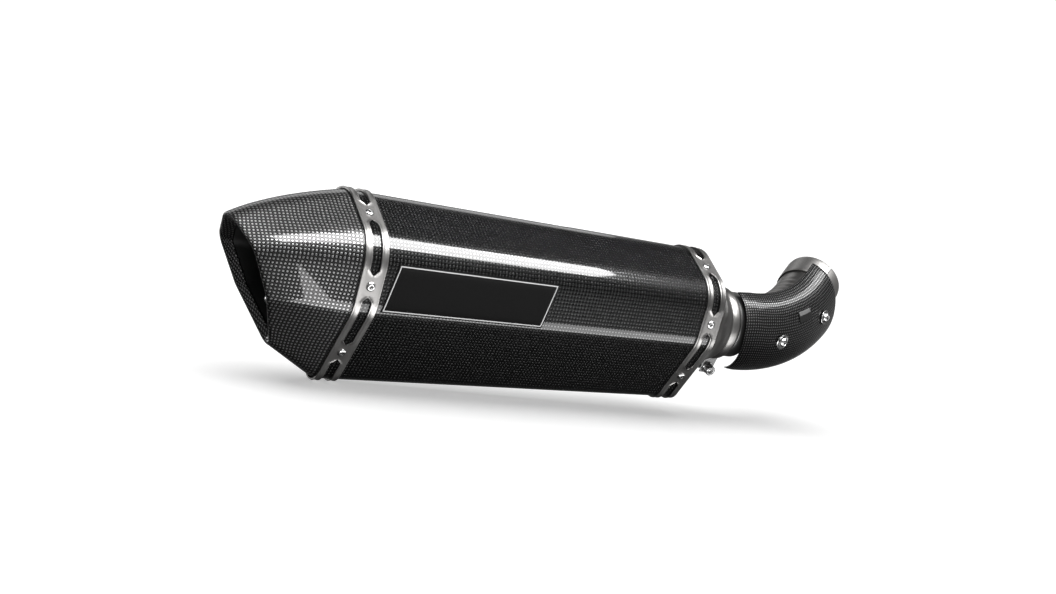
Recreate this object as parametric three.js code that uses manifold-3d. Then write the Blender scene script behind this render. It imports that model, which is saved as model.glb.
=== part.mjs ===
// A motorcycle slip-on exhaust muffler: a tapered six-sided carbon sleeve with a slash-cut end cap, riveted
// straps, and a bent link pipe under a carbon heat shield. Millimetres, +Z up.
// The muffler's gas axis runs along +X from the outlet to the inlet. -Y is the side that faces outwards on the
// motorcycle. The model is built with x = 0 at the middle of the rear strap and the gas axis at y = z = 0, and
// it is moved at the end so that the origin is the centre of the link pipe's slip-on mouth.
import * as THREE from 'three';
import { mergeVertices } from 'three/addons/utils/BufferGeometryUtils.js';
import Module from 'manifold-3d';

const GAP = 0.3; // clearance between separate pieces

// Sleeve: the corners of its section at the rear strap, sharp, each with its rounding radius.
const SLEEVE_CORNERS = {
  top: { y: 0, z: 77.6, r: 33 },
  shoulder: { y: 63.4, z: 35.5, r: 32 },
  side: { y: 55.5, z: -21, r: 29 },
  keel: { y: 0, z: -100, r: 15 },
};
const STRAP_PITCH = 352.7; // from the rear strap's middle to the front strap's middle
const FRONT_SCALE = 0.9; // the section at the front strap over the section at the rear strap
const FRONT_LIFT = 3.1;
const SLEEVE_WALL = 1.6;
const SLEEVE_REAR_X = -8;
const SLEEVE_FRONT_X = STRAP_PITCH + 8;

// Straps, their windows and rivets.
const STRAP_WIDTH = 21;
const STRAP_WALL = 1.2;
const STRAP_LIFT = 0.2; // air between the strap and the sleeve
const WINDOW_HALF_WIDTH = 4.3;
const WINDOW_POINT = 4.5; // length of a window's pointed end
const WINDOW_TO_RIVET = 9;
const RIVET_SHARES = [0.5, 0.5, 0.59, 0.41, 0.5, 0.5]; // where each flat's rivet sits along the flat
const RIVET_HEAD_RADIUS = 4;
const RIVET_HEAD_HEIGHT = 1.5;
const RIVET_SHANK_RADIUS = 2.3;
const RIVET_BORE_RADIUS = 1.4;
const RIVET_TAIL_RADIUS = 3.2;
const DRAIN_RADIUS = 1.3;

// End cap: the sharp corners of its slash-cut rim, and the rim's plane x = RIM_X - RIM_RAKE z - RIM_YAW y.
const RIM_CORNERS = {
  top: { y: 0, z: 45, r: 20 },
  shoulder: { y: 33.5, z: 17, r: 17 },
  side: { y: 30, z: -22, r: 14 },
  keel: { y: 0, z: -75, r: 10 },
};
const RIM_SIDESTEP = -6; // the rim stands off to the outer side of the gas axis
const RIM_X = -88.4;
const RIM_RAKE = 0.52;
const RIM_YAW = 0.1;
const CAP_WALL = 2;
const CAP_START_X = SLEEVE_REAR_X - GAP;
const SKIRT_END_X = 8;
const SKIRT_WALL = 1.8;
const LIP_WIDTH = 8;
const LIP_DEPTH = 5;
const CUP_WALL = 1.5;
const CUP_SPIGOT_RADIUS = 27.5;
const CUP_SPIGOT_X = -16;
const CUP_SCREW_SHARE = 0.22; // of the way from the cup's rim to its neck
const CUP_SCREW_POINT = 27; // the section point that the screw stands on

// Gas core and its baffles.
const CORE_RADIUS = 26;
const CORE_WALL = 1.5;
const BAFFLE_THICKNESS = 2;
const REAR_BAFFLE_X = 4;
const FRONT_BAFFLE_X = 340;
const CORE_HOLE_ROWS = 6;
const CORE_HOLE_RINGS = 5;
const CORE_HOLE_RADIUS = 4;
const DAMPER_RADIUS = 23.9;
const DAMPER_BORE = 19;
const DAMPER_LENGTH = 38;

// Inlet cap, inlet sleeve and clamp.
const FLANGE_X = 404;
const INLET_OUTER_RADIUS = 29.7;
const INLET_INNER_RADIUS = 27.9;
const INLET_REAR_X = 386;
const INLET_FRONT_X = 424;
const INLET_SLOT_WIDTH = 2.4;
const INLET_SLOT_LENGTH = 17;
const CLAMP_X = 414.5;
const CLAMP_WIDTH = 14;
const CLAMP_WALL = 1.6;
const CLAMP_EAR_GAP = 5;
const CLAMP_EAR_RADIUS = 55;
const CLAMP_BOLT_RADIUS_FROM_AXIS = 49;
const CLAMP_TURN = THREE.MathUtils.degToRad(22);
const BOLT_RADIUS = 2.9;
const BOLT_HEAD_RADIUS = 5;
const BOLT_HEAD_HEIGHT = 6;
const BOLT_LENGTH = 24;

// Link pipe: a straight end in the inlet sleeve, one bend, and a straight end in the slip ring.
const PIPE_RADIUS = 27.5;
const PIPE_WALL = 1.6;
const PIPE_START_X = 388;
const BEND_START_X = INLET_FRONT_X;
const BEND_RADIUS = 140;
const BEND_ANGLE = THREE.MathUtils.degToRad(43.5);
const BEND_LEAN = THREE.MathUtils.degToRad(38); // the bend's plane, turned from upright towards +Y
const PIPE_TAIL = 38;
const SLIP_RING_RADIUS = 29.5;
const SLIP_RING_LENGTH = 26;
const SLIP_SOCKET_DEPTH = 18;
const SLIP_SLOT_WIDTH = 2.6;
const SLIP_SLOT_LENGTH = 14;

// Heat shield: angles are about the pipe, from the inside of the bend towards the outer upper side.
const SHIELD_WALL = 1.6;
const SHIELD_UPPER_EDGE = THREE.MathUtils.degToRad(60);
const SHIELD_LOWER_EDGE = THREE.MathUtils.degToRad(206);
const SHIELD_RADIUS = 38;
const SHIELD_BELLY = 6; // how much farther out the shield stands at its lower edge
const SHIELD_SCREWS = [
  { s: 64, angle: THREE.MathUtils.degToRad(141) },
  { s: 122, angle: THREE.MathUtils.degToRad(132) },
];
const SHIELD_START = 22; // stations along the pipe of the shield's ends at its upper edge
const SHIELD_START_DELAY = 14; // how much later it starts at its lower edge
const SHIELD_END = 160;
const SHIELD_END_LOSS = 34; // how much earlier it ends at its lower edge
const SHIELD_FLARE = 1.5; // how far the rear edge dips towards the pipe
const BOSS_RADIUS = 6;
const WASHER_RADIUS = 7.5;
const GROMMET_THICKNESS = 1.2;
const SHIELD_SCREW_RADIUS = 4.8;

// Badges: blank plates, their places given along what they sit on.
const SLEEVE_BADGE = { rearX: 18.5, frontX: 174.5, slant: 7, height: 41, bottom: 0.25, top: 0.7 };
const SHIELD_BADGE = { from: 86, to: 104, upper: 102, lower: 119, bottom: 0.4, top: 0.9 };

const ROUND = 24; // sides of a full round
const ARC_STEPS = 4; // steps in each rounded corner of a section
const FLAT_POINTS = 2; // points added along each flat of a section
const POINTS_PER_CORNER = ARC_STEPS + 1 + FLAT_POINTS;

const wasm = await Module();
wasm.setup();

const lerp = THREE.MathUtils.lerp;

// ---------------------------------------------------------------- materials

const carbon = () => new THREE.MeshStandardMaterial({ color: 0x17181a, roughness: 0.25, metalness: 0.1 });
const titanium = () => new THREE.MeshStandardMaterial({ color: 0x8d8984, roughness: 0.42, metalness: 1 });
const steel = () => new THREE.MeshStandardMaterial({ color: 0xc2c4c6, roughness: 0.25, metalness: 1 });
const blackSteel = () => new THREE.MeshStandardMaterial({ color: 0x151515, roughness: 0.55, metalness: 0.6 });
const wool = () => new THREE.MeshStandardMaterial({ color: 0xc9b98c, roughness: 1, metalness: 0 });
const enamel = () => new THREE.MeshStandardMaterial({ color: 0x0c0c0d, roughness: 0.3, metalness: 0.2 });

// ---------------------------------------------------------------- solids

function geometryOf(positions, indices) {
  const geometry = new THREE.BufferGeometry();
  geometry.setAttribute('position', new THREE.Float32BufferAttribute(positions, 3));
  geometry.setIndex(indices);
  return geometry;
}

// Joins a list of equal rings into one surface, ring to ring. The last ring meets the first.
function closedLoft(rings) {
  const count = rings[0].length;
  const positions = rings.flat().flatMap((p) => [p.x, p.y, p.z]);
  const indices = [];
  for (let i = 0; i < rings.length; i += 1) {
    const here = i * count;
    const next = ((i + 1) % rings.length) * count;
    for (let j = 0; j < count; j += 1) {
      const k = (j + 1) % count;
      indices.push(here + j, next + j, next + k, here + j, next + k, here + k);
    }
  }
  return outwards(geometryOf(positions, indices));
}

// A sheet with thickness: two equal grids of points, joined along their four edges.
function thickSheet(outer, inner) {
  const rows = outer.length;
  const columns = outer[0].length;
  const positions = [...outer.flat(), ...inner.flat()].flatMap((p) => [p.x, p.y, p.z]);
  const indices = [];
  const at = (side, i, j) => side * rows * columns + i * columns + j;
  const quad = (a, b, c, d) => indices.push(a, b, c, a, c, d);
  for (let i = 0; i + 1 < rows; i += 1) {
    for (let j = 0; j + 1 < columns; j += 1) {
      quad(at(0, i, j), at(0, i + 1, j), at(0, i + 1, j + 1), at(0, i, j + 1));
      quad(at(1, i, j), at(1, i, j + 1), at(1, i + 1, j + 1), at(1, i + 1, j));
    }
    quad(at(0, i, 0), at(1, i, 0), at(1, i + 1, 0), at(0, i + 1, 0));
    quad(at(0, i, columns - 1), at(0, i + 1, columns - 1), at(1, i + 1, columns - 1), at(1, i, columns - 1));
  }
  for (let j = 0; j + 1 < columns; j += 1) {
    quad(at(0, 0, j), at(0, 0, j + 1), at(1, 0, j + 1), at(1, 0, j));
    quad(at(0, rows - 1, j), at(1, rows - 1, j), at(1, rows - 1, j + 1), at(0, rows - 1, j + 1));
  }
  return outwards(geometryOf(positions, indices));
}

// Turns a closed mesh's faces outwards, by the sign of its volume.
function outwards(geometry) {
  const p = geometry.attributes.position;
  const index = geometry.index.array;
  const [a, b, c] = [new THREE.Vector3(), new THREE.Vector3(), new THREE.Vector3()];
  let volume = 0;
  for (let i = 0; i < index.length; i += 3) {
    a.fromBufferAttribute(p, index[i]);
    b.fromBufferAttribute(p, index[i + 1]);
    c.fromBufferAttribute(p, index[i + 2]);
    volume += a.dot(b.cross(c));
  }
  if (volume < 0) {
    for (let i = 0; i < index.length; i += 3) {
      [index[i + 1], index[i + 2]] = [index[i + 2], index[i + 1]];
    }
  }
  return geometry;
}

function toManifold(geometry) {
  const bare = geometry.clone();
  bare.deleteAttribute('normal');
  bare.deleteAttribute('uv');
  const merged = mergeVertices(bare, 1e-4);
  return new wasm.Manifold(new wasm.Mesh({
    numProp: 3,
    vertProperties: new Float32Array(merged.attributes.position.array),
    triVerts: new Uint32Array(merged.index.array),
  }));
}

function fromManifold(manifold) {
  const mesh = manifold.getMesh();
  return geometryOf(Array.from(mesh.vertProperties), Array.from(mesh.triVerts));
}

function cut(geometry, tools) {
  let solid = toManifold(geometry);
  for (const tool of tools) solid = solid.subtract(toManifold(tool));
  return fromManifold(solid);
}

function join(geometry, additions) {
  let solid = toManifold(geometry);
  for (const addition of additions) solid = solid.add(toManifold(addition));
  return fromManifold(solid);
}

// A solid of revolution about +Z from [radius, z] points, closed on itself or ending on the axis.
function turned(points, sides = ROUND) {
  const first = points[0];
  const onAxis = first[0] === 0;
  const profile = onAxis ? points : [...points, first];
  const lathe = new THREE.LatheGeometry(profile.map(([r, z]) => new THREE.Vector2(r, z)), sides);
  lathe.deleteAttribute('normal');
  lathe.deleteAttribute('uv');
  const geometry = mergeVertices(lathe, 1e-4);
  geometry.rotateX(Math.PI / 2);
  return outwards(dropSlivers(geometry));
}

// Removes the empty triangles that a revolved profile leaves where it meets its axis.
function dropSlivers(geometry) {
  const index = geometry.index.array;
  const kept = [];
  for (let i = 0; i < index.length; i += 3) {
    const [a, b, c] = [index[i], index[i + 1], index[i + 2]];
    if (a !== b && b !== c && c !== a) kept.push(a, b, c);
  }
  geometry.setIndex(kept);
  return geometry;
}

// A frame that stands +Z on a direction at a point.
function standOn(position, direction) {
  const turn = new THREE.Quaternion().setFromUnitVectors(new THREE.Vector3(0, 0, 1), direction);
  return new THREE.Matrix4().compose(position, turn, new THREE.Vector3(1, 1, 1));
}

function named(name, geometry, material) {
  const mesh = new THREE.Mesh(geometry, material);
  mesh.name = name;
  geometry.computeVertexNormals();
  return mesh;
}

// ---------------------------------------------------------------- sections

// The six corners in order round the section, from its top corner towards -Y.
function corners({ top, shoulder, side, keel }) {
  const right = ({ y, z, r }) => ({ y: -y, z, r });
  return [top, right(shoulder), right(side), keel, side, shoulder];
}

function mixCorners(a, b, t) {
  return a.map((corner, i) => ({
    y: lerp(corner.y, b[i].y, t),
    z: lerp(corner.z, b[i].z, t),
    r: lerp(corner.r, b[i].r, t),
  }));
}

// The rounded section as points with outward normals, moved inwards by inset. Every corner gives the same
// number of points, so sections of one family join point to point.
function outline(cornerList, inset = 0) {
  const arcs = cornerArcs(cornerList, inset);
  return arcs.flatMap((arc, i) => {
    const end = arc[ARC_STEPS];
    const next = arcs[(i + 1) % arcs.length][0];
    const flat = [];
    for (let k = 1; k <= FLAT_POINTS; k += 1) {
      const t = k / (FLAT_POINTS + 1);
      flat.push({ y: lerp(end.y, next.y, t), z: lerp(end.z, next.z, t), ny: end.ny, nz: end.nz });
    }
    return [...arc, ...flat];
  });
}

function cornerArcs(cornerList, inset) {
  const arcs = [];
  const count = cornerList.length;
  for (let i = 0; i < count; i += 1) {
    const before = cornerList[(i + count - 1) % count];
    const here = cornerList[i];
    const after = cornerList[(i + 1) % count];
    const normalIn = new THREE.Vector2(here.z - before.z, before.y - here.y).normalize();
    const normalOut = new THREE.Vector2(after.z - here.z, here.y - after.y).normalize();
    const bisector = normalIn.clone().add(normalOut).normalize();
    const reach = 1 / bisector.dot(normalIn);
    const centre = new THREE.Vector2(here.y, here.z).addScaledVector(bisector, -here.r * reach);
    const from = normalIn.angle();
    const sweep = normalIn.angleTo(normalOut);
    const arc = [];
    for (let k = 0; k <= ARC_STEPS; k += 1) {
      const angle = from + (sweep * k) / ARC_STEPS;
      const normal = new THREE.Vector2(Math.cos(angle), Math.sin(angle));
      const point = centre.clone().addScaledVector(normal, here.r - inset);
      arc.push({ y: point.x, z: point.y, ny: normal.x, nz: normal.y });
    }
    arcs.push(arc);
  }
  return arcs;
}

const rearCorners = corners(SLEEVE_CORNERS);
const rimCorners = corners(RIM_CORNERS).map((corner) => ({ ...corner, y: corner.y + RIM_SIDESTEP }));

function sleeveCorners(x) {
  const scale = lerp(1, FRONT_SCALE, x / STRAP_PITCH);
  const lift = lerp(0, FRONT_LIFT, x / STRAP_PITCH);
  return rearCorners.map(({ y, z, r }) => ({ y: y * scale, z: z * scale + lift, r: r * scale }));
}

function sleeveRing(x, inset) {
  return outline(sleeveCorners(x), inset).map(({ y, z }) => new THREE.Vector3(x, y, z));
}

// A round ring about the gas axis with as many points as a section, that joins it corner to corner.
function roundRing(x, radius) {
  const count = 6 * POINTS_PER_CORNER;
  const ring = [];
  for (let i = 0; i < count; i += 1) {
    const angle = Math.PI / 2 + (2 * Math.PI * (i - ARC_STEPS / 2)) / count;
    ring.push(new THREE.Vector3(x, radius * Math.cos(angle), radius * Math.sin(angle)));
  }
  return ring;
}

function mixRings(a, b, t) {
  return a.map((point, i) => point.clone().lerp(b[i], t));
}

// ---------------------------------------------------------------- outline as a path

// The strap's path at station x: a point and outward normal at each arc length u from the top corner's start.
function strapPath(x) {
  const points = outline(sleeveCorners(x));
  const lengths = [0];
  for (let i = 0; i < points.length; i += 1) {
    const a = points[i];
    const b = points[(i + 1) % points.length];
    lengths.push(lengths[i] + Math.hypot(b.y - a.y, b.z - a.z));
  }
  return { points, lengths, total: lengths[points.length] };
}

function onStrap(path, u, x, lift) {
  const wrapped = ((u % path.total) + path.total) % path.total;
  let i = 0;
  while (path.lengths[i + 1] < wrapped) i += 1;
  const t = (wrapped - path.lengths[i]) / (path.lengths[i + 1] - path.lengths[i]);
  const a = path.points[i];
  const b = path.points[(i + 1) % path.points.length];
  const normal = new THREE.Vector3(0, lerp(a.ny, b.ny, t), lerp(a.nz, b.nz, t)).normalize();
  const position = new THREE.Vector3(x, lerp(a.y, b.y, t), lerp(a.z, b.z, t));
  return { position: position.addScaledVector(normal, lift), normal };
}

// One rivet to a flat: the flat after corner i holds rivet i.
function rivetStations(path) {
  return RIVET_SHARES.map((share, i) => {
    const flatStart = path.lengths[i * POINTS_PER_CORNER + ARC_STEPS];
    const flatEnd = path.lengths[(i + 1) * POINTS_PER_CORNER];
    return lerp(flatStart, flatEnd, share);
  });
}

// The tools that cut a strap's six windows, each from one rivet to the next round a corner.
function windowTools(x) {
  const path = strapPath(x);
  const stations = rivetStations(path);
  return stations.map((station, i) => {
    const next = i + 1 < stations.length ? stations[i + 1] : stations[0] + path.total;
    const [start, end] = [station + WINDOW_TO_RIVET, next - WINDOW_TO_RIVET];
    const cornersBetween = [...path.lengths, ...path.lengths.map((u) => u + path.total)]
      .filter((u) => u > start + WINDOW_POINT + 0.5 && u < end - WINDOW_POINT - 0.5);
    const stops = [start, start + WINDOW_POINT, ...new Set(cornersBetween), end - WINDOW_POINT, end];
    const rows = stops.map((u) => {
      const halfWidth = u === start || u === end ? 0.4 : WINDOW_HALF_WIDTH;
      return [-halfWidth, halfWidth].map((dx) => [u, dx]);
    });
    const grid = (lift) => rows.map((row) => row.map(([u, dx]) => {
      const { position } = onStrap(path, u, x + dx, lift);
      return position;
    }));
    return thickSheet(grid(4), grid(-0.9));
  });
}

function rivetPlaces(x) {
  const path = strapPath(x);
  return rivetStations(path).map((u) => onStrap(path, u, x, STRAP_LIFT + STRAP_WALL));
}

const rearRivetPlaces = rivetPlaces(0);
const frontRivetPlaces = rivetPlaces(STRAP_PITCH);

function drillTools(places, radius) {
  return places.map(({ position, normal }) => {
    const drill = new THREE.CylinderGeometry(radius, radius, 24, 8);
    drill.rotateX(Math.PI / 2);
    return drill.applyMatrix4(standOn(position, normal));
  });
}

const rivetDrill = (places) => drillTools(places, RIVET_SHANK_RADIUS + GAP);

// ---------------------------------------------------------------- muffler body

function outerSleeve() {
  const shell = closedLoft([
    sleeveRing(SLEEVE_REAR_X, 0),
    sleeveRing(SLEEVE_FRONT_X, 0),
    sleeveRing(SLEEVE_FRONT_X, SLEEVE_WALL),
    sleeveRing(SLEEVE_REAR_X, SLEEVE_WALL),
  ]);
  return cut(shell, [...rivetDrill(rearRivetPlaces), ...rivetDrill(frontRivetPlaces)]);
}

function rearStrap() {
  const half = STRAP_WIDTH / 2;
  const band = closedLoft([
    sleeveRing(-half, -STRAP_LIFT - STRAP_WALL),
    sleeveRing(half, -STRAP_LIFT - STRAP_WALL),
    sleeveRing(half, -STRAP_LIFT),
    sleeveRing(-half, -STRAP_LIFT),
  ]);
  return cut(band, [...windowTools(0), ...rivetDrill(rearRivetPlaces)]);
}

// One hollow blind rivet, its head's seat at z = 0 and its shank down -Z.
function rivet(grip) {
  const shankEnd = -grip - GAP;
  return turned([
    [RIVET_BORE_RADIUS, RIVET_HEAD_HEIGHT - 0.3],
    [2.4, RIVET_HEAD_HEIGHT],
    [RIVET_HEAD_RADIUS, 0.4],
    [RIVET_HEAD_RADIUS, 0.1],
    [RIVET_SHANK_RADIUS, 0.1],
    [RIVET_SHANK_RADIUS, shankEnd],
    [RIVET_TAIL_RADIUS, shankEnd - 0.4],
    [RIVET_BORE_RADIUS, shankEnd - 3],
  ], 8);
}

// The end cap's section at a share t of the way to its rim, its wall moved inwards by inset.
function capRing(t, inset, deeper = 0) {
  const share = 0.7 * t + 0.3 * t * t;
  return outline(mixCorners(sleeveCorners(CAP_START_X), rimCorners, share), inset).map(({ y, z }) => {
    const rimX = RIM_X - RIM_RAKE * z - RIM_YAW * y;
    return new THREE.Vector3(lerp(CAP_START_X, rimX, t) + deeper, y, z);
  });
}

function endCap() {
  const skirtOuter = SLEEVE_WALL + GAP;
  const skirtInner = skirtOuter + SKIRT_WALL;
  const steps = [0, 0.25, 0.5, 0.75, 0.94];
  const outside = [...steps, 1].map((t) => capRing(t, 0));
  const lip = [
    capRing(1, 1.5, -1.2),
    capRing(1, 3.5, -1),
    capRing(1, LIP_WIDTH, LIP_DEPTH),
    capRing(1, LIP_WIDTH, LIP_DEPTH + 1.5),
    capRing(1, 3.8, 3),
  ];
  const inside = steps.slice(1).reverse().map((t) => capRing(t, CAP_WALL));
  const skirt = [
    sleeveRing(CAP_START_X - 1, skirtInner),
    sleeveRing(SKIRT_END_X, skirtInner),
    sleeveRing(SKIRT_END_X, skirtOuter),
    sleeveRing(CAP_START_X, skirtOuter),
  ];
  return cut(closedLoft([...outside, ...lip, ...inside, ...skirt]), rivetDrill(rearRivetPlaces));
}

// A ring of the outlet cup's outer or inner face, at a share of the way from its rim to its round neck.
function cupRing(share, wall) {
  const rim = capRing(1, LIP_WIDTH - 2 + wall, LIP_DEPTH + 2.6);
  const neck = roundRing(CUP_SPIGOT_X, CUP_SPIGOT_RADIUS - wall);
  return mixRings(rim, neck, share);
}

// The funnel from behind the end cap's lip to the round mouth of the core.
function outletCup() {
  const end = REAR_BAFFLE_X - GAP;
  const shares = [0, 0.5, 1];
  const funnel = closedLoft([
    ...shares.map((share) => cupRing(share, 0)),
    roundRing(end, CUP_SPIGOT_RADIUS),
    roundRing(end, CUP_SPIGOT_RADIUS - CUP_WALL),
    ...shares.reverse().map((share) => cupRing(share, CUP_WALL)),
  ]);
  return cut(funnel, drillTools([cupScrewPlace()], 2.5 + GAP));
}

// Where the cup's screw stands: on the inner face, on the side away from the viewer's side of the outlet.
function cupScrewPlace() {
  const [before, here, after] = [-1, 0, 1].map((step) => cupRing(CUP_SCREW_SHARE, CUP_WALL)[CUP_SCREW_POINT + step]);
  const along = cupRing(CUP_SCREW_SHARE + 0.05, CUP_WALL)[CUP_SCREW_POINT].sub(here);
  const normal = along.cross(after.sub(before)).normalize();
  return { position: here, normal };
}

function onCup(geometry, lift) {
  const { position, normal } = cupScrewPlace();
  return geometry.applyMatrix4(standOn(position.addScaledVector(normal, lift), normal));
}

function cupScrew() {
  const body = turned([[0, 2.6], [3.4, 2.2], [4.6, 0.6], [4.6, 0], [2.5, 0], [2.5, -8], [0, -8]], 16);
  const socket = new THREE.CylinderGeometry(1.8, 1.8, 3.6, 6).rotateX(Math.PI / 2).translate(0, 0, 2.6);
  return onCup(cut(body, [socket]), 0.6);
}

function cupNut() {
  const hexagon = new THREE.CylinderGeometry(4.6, 4.6, 4, 6).rotateX(Math.PI / 2);
  const thread = new THREE.CylinderGeometry(2.5 + GAP, 2.5 + GAP, 12, 12).rotateX(Math.PI / 2);
  return onCup(cut(hexagon, [thread]), -CUP_WALL - 3.2);
}

function baffle(x, inset, hole) {
  return closedLoft([
    sleeveRing(x, inset),
    sleeveRing(x + BAFFLE_THICKNESS, inset),
    roundRing(x + BAFFLE_THICKNESS, hole),
    roundRing(x, hole),
  ]);
}

function tubeAlongX(startX, endX, outer, inner) {
  const tube = turned([[outer, startX], [outer, endX], [inner, endX], [inner, startX]]);
  return tube.rotateY(Math.PI / 2);
}

function perforatedCore() {
  const start = REAR_BAFFLE_X + BAFFLE_THICKNESS + GAP;
  const end = INLET_REAR_X - GAP;
  const pitch = (FRONT_BAFFLE_X - start) / (CORE_HOLE_RINGS + 1);
  const drills = [];
  for (let ring = 1; ring <= CORE_HOLE_RINGS; ring += 1) {
    for (let row = 0; row < CORE_HOLE_ROWS / 2; row += 1) {
      const drill = new THREE.CylinderGeometry(CORE_HOLE_RADIUS, CORE_HOLE_RADIUS, 3 * CORE_RADIUS, 6);
      drill.rotateX(((row + 0.5 * (ring % 2)) * 2 * Math.PI) / CORE_HOLE_ROWS);
      drills.push(drill.translate(start + ring * pitch, 0, 0));
    }
  }
  return cut(tubeAlongX(start, end, CORE_RADIUS, CORE_RADIUS - CORE_WALL), drills);
}

function packingWool() {
  const start = SKIRT_END_X + GAP;
  const end = FRONT_BAFFLE_X - GAP;
  const inset = SLEEVE_WALL + 0.8;
  return closedLoft([
    sleeveRing(start, inset),
    sleeveRing(end, inset),
    roundRing(end, CORE_RADIUS + GAP),
    roundRing(start, CORE_RADIUS + GAP),
  ]);
}

// The removable noise damper: a narrow tube with a wide flange at its rear end.
function noiseDamper() {
  const flangeRadius = CUP_SPIGOT_RADIUS - CUP_WALL - GAP;
  const rear = CUP_SPIGOT_X + 1;
  return turned([
    [flangeRadius, rear],
    [flangeRadius, rear + 3],
    [DAMPER_RADIUS, rear + 3],
    [DAMPER_RADIUS, rear + DAMPER_LENGTH],
    [DAMPER_BORE, rear + DAMPER_LENGTH],
    [DAMPER_BORE, rear],
  ]).rotateY(Math.PI / 2);
}

// ---------------------------------------------------------------- inlet end of the muffler

// Spun dish and front strap in one: [x, share towards round, round radius] outside, then back inside.
function inletCap() {
  const strapRear = STRAP_PITCH - STRAP_WIDTH / 2;
  const strapFront = STRAP_PITCH + STRAP_WIDTH / 2;
  const outerInset = -STRAP_LIFT - STRAP_WALL;
  const dish = (x, share, radius, inset) => {
    const section = outline(sleeveCorners(strapFront), inset).map(({ y, z }) => new THREE.Vector3(x, y, z));
    return mixRings(section, roundRing(x, radius), share);
  };
  const dishShape = [[366, 0.12], [371, 0.36], [377, 0.64], [384, 0.88], [391, 1]];
  const neck = [[393, 35.4], [395, 34.4], [397, 35.2], [401, 35.3], [FLANGE_X - 0.8, 35], [FLANGE_X, 34.2]];
  const neckRadius = 36.5;
  const rings = [
    sleeveRing(strapRear, outerInset),
    sleeveRing(strapFront, outerInset),
    ...dishShape.map(([x, share]) => dish(x, share, neckRadius, outerInset)),
    ...neck.map(([x, radius]) => roundRing(x, radius)),
    roundRing(FLANGE_X, INLET_OUTER_RADIUS + GAP),
    roundRing(391, INLET_OUTER_RADIUS + GAP),
    ...dishShape.slice(0, 4).reverse().map(([x, share]) => dish(x - 1, share, neckRadius - 1.6, -STRAP_LIFT)),
    sleeveRing(SLEEVE_FRONT_X + 1, -STRAP_LIFT),
    sleeveRing(strapRear, -STRAP_LIFT),
  ];
  const path = strapPath(STRAP_PITCH);
  const drainU = rivetStations(path)[2];
  const drain = drillTools([onStrap(path, drainU, STRAP_PITCH + 7.4, 0)], DRAIN_RADIUS);
  return cut(closedLoft(rings), [...windowTools(STRAP_PITCH), ...rivetDrill(frontRivetPlaces), ...drain]);
}

function inletSleeve() {
  const tube = tubeAlongX(INLET_REAR_X, INLET_FRONT_X, INLET_OUTER_RADIUS, INLET_INNER_RADIUS);
  const slots = [0, 1].map((turn) => {
    const slot = new THREE.BoxGeometry(2 * INLET_SLOT_LENGTH, INLET_SLOT_WIDTH, 4 * INLET_OUTER_RADIUS);
    slot.rotateX((turn * Math.PI) / 2 + Math.PI / 4);
    return slot.translate(INLET_FRONT_X, 0, 0);
  });
  return cut(tube, slots);
}

// ---------------------------------------------------------------- clamp, its bolt below the pipe along Y

function clampBand() {
  const inner = INLET_OUTER_RADIUS + GAP;
  const outer = inner + CLAMP_WALL;
  const halfGap = CLAMP_EAR_GAP / 2;
  const earOuter = halfGap + CLAMP_WALL;
  const shape = new THREE.Shape();
  shape.absarc(0, 0, outer, -Math.PI / 2 + Math.asin(earOuter / outer), 1.5 * Math.PI - Math.asin(earOuter / outer));
  shape.lineTo(-earOuter, -CLAMP_EAR_RADIUS);
  shape.lineTo(-halfGap, -CLAMP_EAR_RADIUS);
  const innerTurn = Math.asin(halfGap / inner);
  shape.absarc(0, 0, inner, 1.5 * Math.PI - innerTurn, -Math.PI / 2 + innerTurn, true);
  shape.lineTo(halfGap, -CLAMP_EAR_RADIUS);
  shape.lineTo(earOuter, -CLAMP_EAR_RADIUS);
  const band = new THREE.ExtrudeGeometry(shape, { depth: CLAMP_WIDTH, bevelEnabled: false, curveSegments: 20 });
  band.rotateX(Math.PI / 2);
  band.rotateZ(Math.PI / 2);
  band.translate(-CLAMP_WIDTH / 2, 0, 0);
  return cut(outwards(mergedOnly(band)), [boltDrill()]);
}

function mergedOnly(geometry) {
  geometry.deleteAttribute('normal');
  geometry.deleteAttribute('uv');
  return mergeVertices(geometry, 1e-4);
}

function boltDrill() {
  const drill = new THREE.CylinderGeometry(BOLT_RADIUS + GAP, BOLT_RADIUS + GAP, 40, 12);
  return drill.translate(0, 0, -CLAMP_BOLT_RADIUS_FROM_AXIS);
}

const EAR_FACE = CLAMP_EAR_GAP / 2 + CLAMP_WALL;

// Turned parts of the bolt, laid along -Y from the ears' outer face at a given distance.
function alongBolt(geometry, offset) {
  geometry.rotateX(Math.PI / 2);
  return geometry.translate(0, -offset, -CLAMP_BOLT_RADIUS_FROM_AXIS);
}

function clampBolt() {
  const washer = 1.4;
  const seat = EAR_FACE + washer + GAP;
  const body = turned([
    [0, BOLT_HEAD_HEIGHT],
    [BOLT_HEAD_RADIUS - 0.5, BOLT_HEAD_HEIGHT],
    [BOLT_HEAD_RADIUS, BOLT_HEAD_HEIGHT - 0.5],
    [BOLT_HEAD_RADIUS, 0],
    [BOLT_RADIUS, 0],
    [BOLT_RADIUS, -BOLT_LENGTH],
    [0, -BOLT_LENGTH],
  ], 16);
  const socket = new THREE.CylinderGeometry(2.9, 2.9, 6, 6).rotateX(Math.PI / 2).translate(0, 0, BOLT_HEAD_HEIGHT);
  return alongBolt(cut(body, [socket]), seat);
}

function washerRing(outer, inner, thickness) {
  return turned([[outer, 0], [outer, thickness], [inner, thickness], [inner, 0]], 16);
}

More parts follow.
